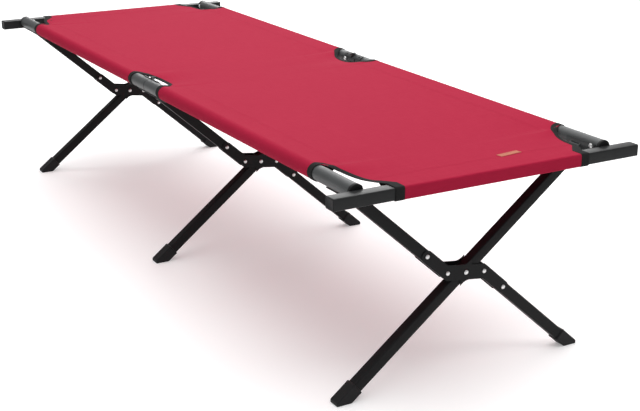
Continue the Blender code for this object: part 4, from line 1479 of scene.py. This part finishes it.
def area_light(name, place, aim, panel, energy):
    light = bpy.data.lights.new(name, "AREA")
    light.shape = "RECTANGLE"
    light.size, light.size_y = panel
    light.energy = energy
    made = bpy.data.objects.new(name, light)
    made.location = place
    made.rotation_mode = "QUATERNION"
    made.rotation_quaternion = (Vector(aim) - Vector(place)).to_track_quat("-Z", "Y")
    bpy.context.scene.collection.objects.link(made)


def studio():
    """A pale floor, three soft lights and an even white room."""
    mesh = bmesh.new()
    mesh.faces.new([mesh.verts.new((x * FLOOR_HALF, y * FLOOR_HALF, 0)) for x, y in CORNERS])
    floor = made_object("studio_floor", mesh, studio_floor("pale_floor"))
    floor.location.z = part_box("foot_left_foot")[0].z - 0.0002
    for row in LIGHTS:
        area_light(*row)
    world = bpy.data.worlds.new("soft_white_room")
    world.use_nodes = True
    background = world.node_tree.nodes["Background"]
    background.inputs["Color"].default_value = (1.0, 1.0, 1.0, 1.0)
    background.inputs["Strength"].default_value = ROOM_LIGHT
    bpy.context.scene.world = world
    bpy.context.scene.view_settings.view_transform = "Standard"


def camera():
    right = Vector(CAMERA_RIGHT).normalized()
    back = -Vector(CAMERA_FORWARD).normalized()
    up = back.cross(right)
    data = bpy.data.cameras.new("camera")
    data.sensor_fit = "HORIZONTAL"
    data.sensor_width = 36
    data.lens = CAMERA_LENS
    data.clip_start = 0.05
    made = bpy.data.objects.new("camera", data)
    made.matrix_world = axes_at((right, up, back), CAMERA_PLACE)
    bpy.context.scene.collection.objects.link(made)
    bpy.context.scene.camera = made


# ---- The cot ----

RAIL_ENAMEL = powder_coat("grey_rail_enamel", (0.054, 0.057, 0.058), 0.43, 0.3, 0.25)
BRACKET_ENAMEL = powder_coat("grey_bracket_enamel", (0.034, 0.036, 0.037), 0.43, 0.3, 0.25)
BAR_ENAMEL = powder_coat("grey_bar_enamel", (0.013, 0.0135, 0.014), 0.36, 0.16, 0.25)
BLACK_ENAMEL = powder_coat("black_leg_enamel", (0.0085, 0.0085, 0.0090), 0.50, 0.12, 0.35)
BLACK_PLASTIC = moulded_plastic("black_nylon", (0.010, 0.010, 0.0105), 0.55)
ZINC = plated_steel("zinc_plate", (0.56, 0.56, 0.57), (0.78, 0.78, 0.77))
DARK_STEEL = plated_steel("blackened_steel", (0.045, 0.045, 0.048), (0.080, 0.080, 0.082))
CRIMSON = woven_polyester("crimson_polyester", (0.355, 0.013, 0.042))
CRIMSON_SIDE = woven_polyester("crimson_polyester_sleeve", (0.355, 0.013, 0.042), "X", "Z")
CRIMSON_THREAD = webbing("crimson_thread", (0.31, 0.012, 0.038), 0.0006)
BLACK_TAPE = webbing("black_binding", (0.012, 0.012, 0.012), 0.0018)
BLACK_THREAD = webbing("black_thread", (0.020, 0.020, 0.020), 0.0006)
LABEL_CLOTH = webbing("tan_label", (0.36, 0.13, 0.085), 0.0009)
LABEL_THREAD = webbing("label_thread", (0.50, 0.14, 0.10), 0.0005)

camera()
studio()
for side_name in SIDES:
    for end_name in ENDS:
        rail(side_name, end_name)
        rail_plug(side_name, end_name)
    for frame_name in FRAMES:
        leg_bracket(side_name, frame_name)
        bracket_bolt(side_name, frame_name)
        pivot_pin(side_name, frame_name)
    hinge(side_name)
for frame_name in FRAMES:
    leg_frame(frame_name)
DECK = Deck()
for end_name in ENDS:
    spreader_bar(end_name)
    canvas(end_name, DECK)

bpy.context.view_layer.update()
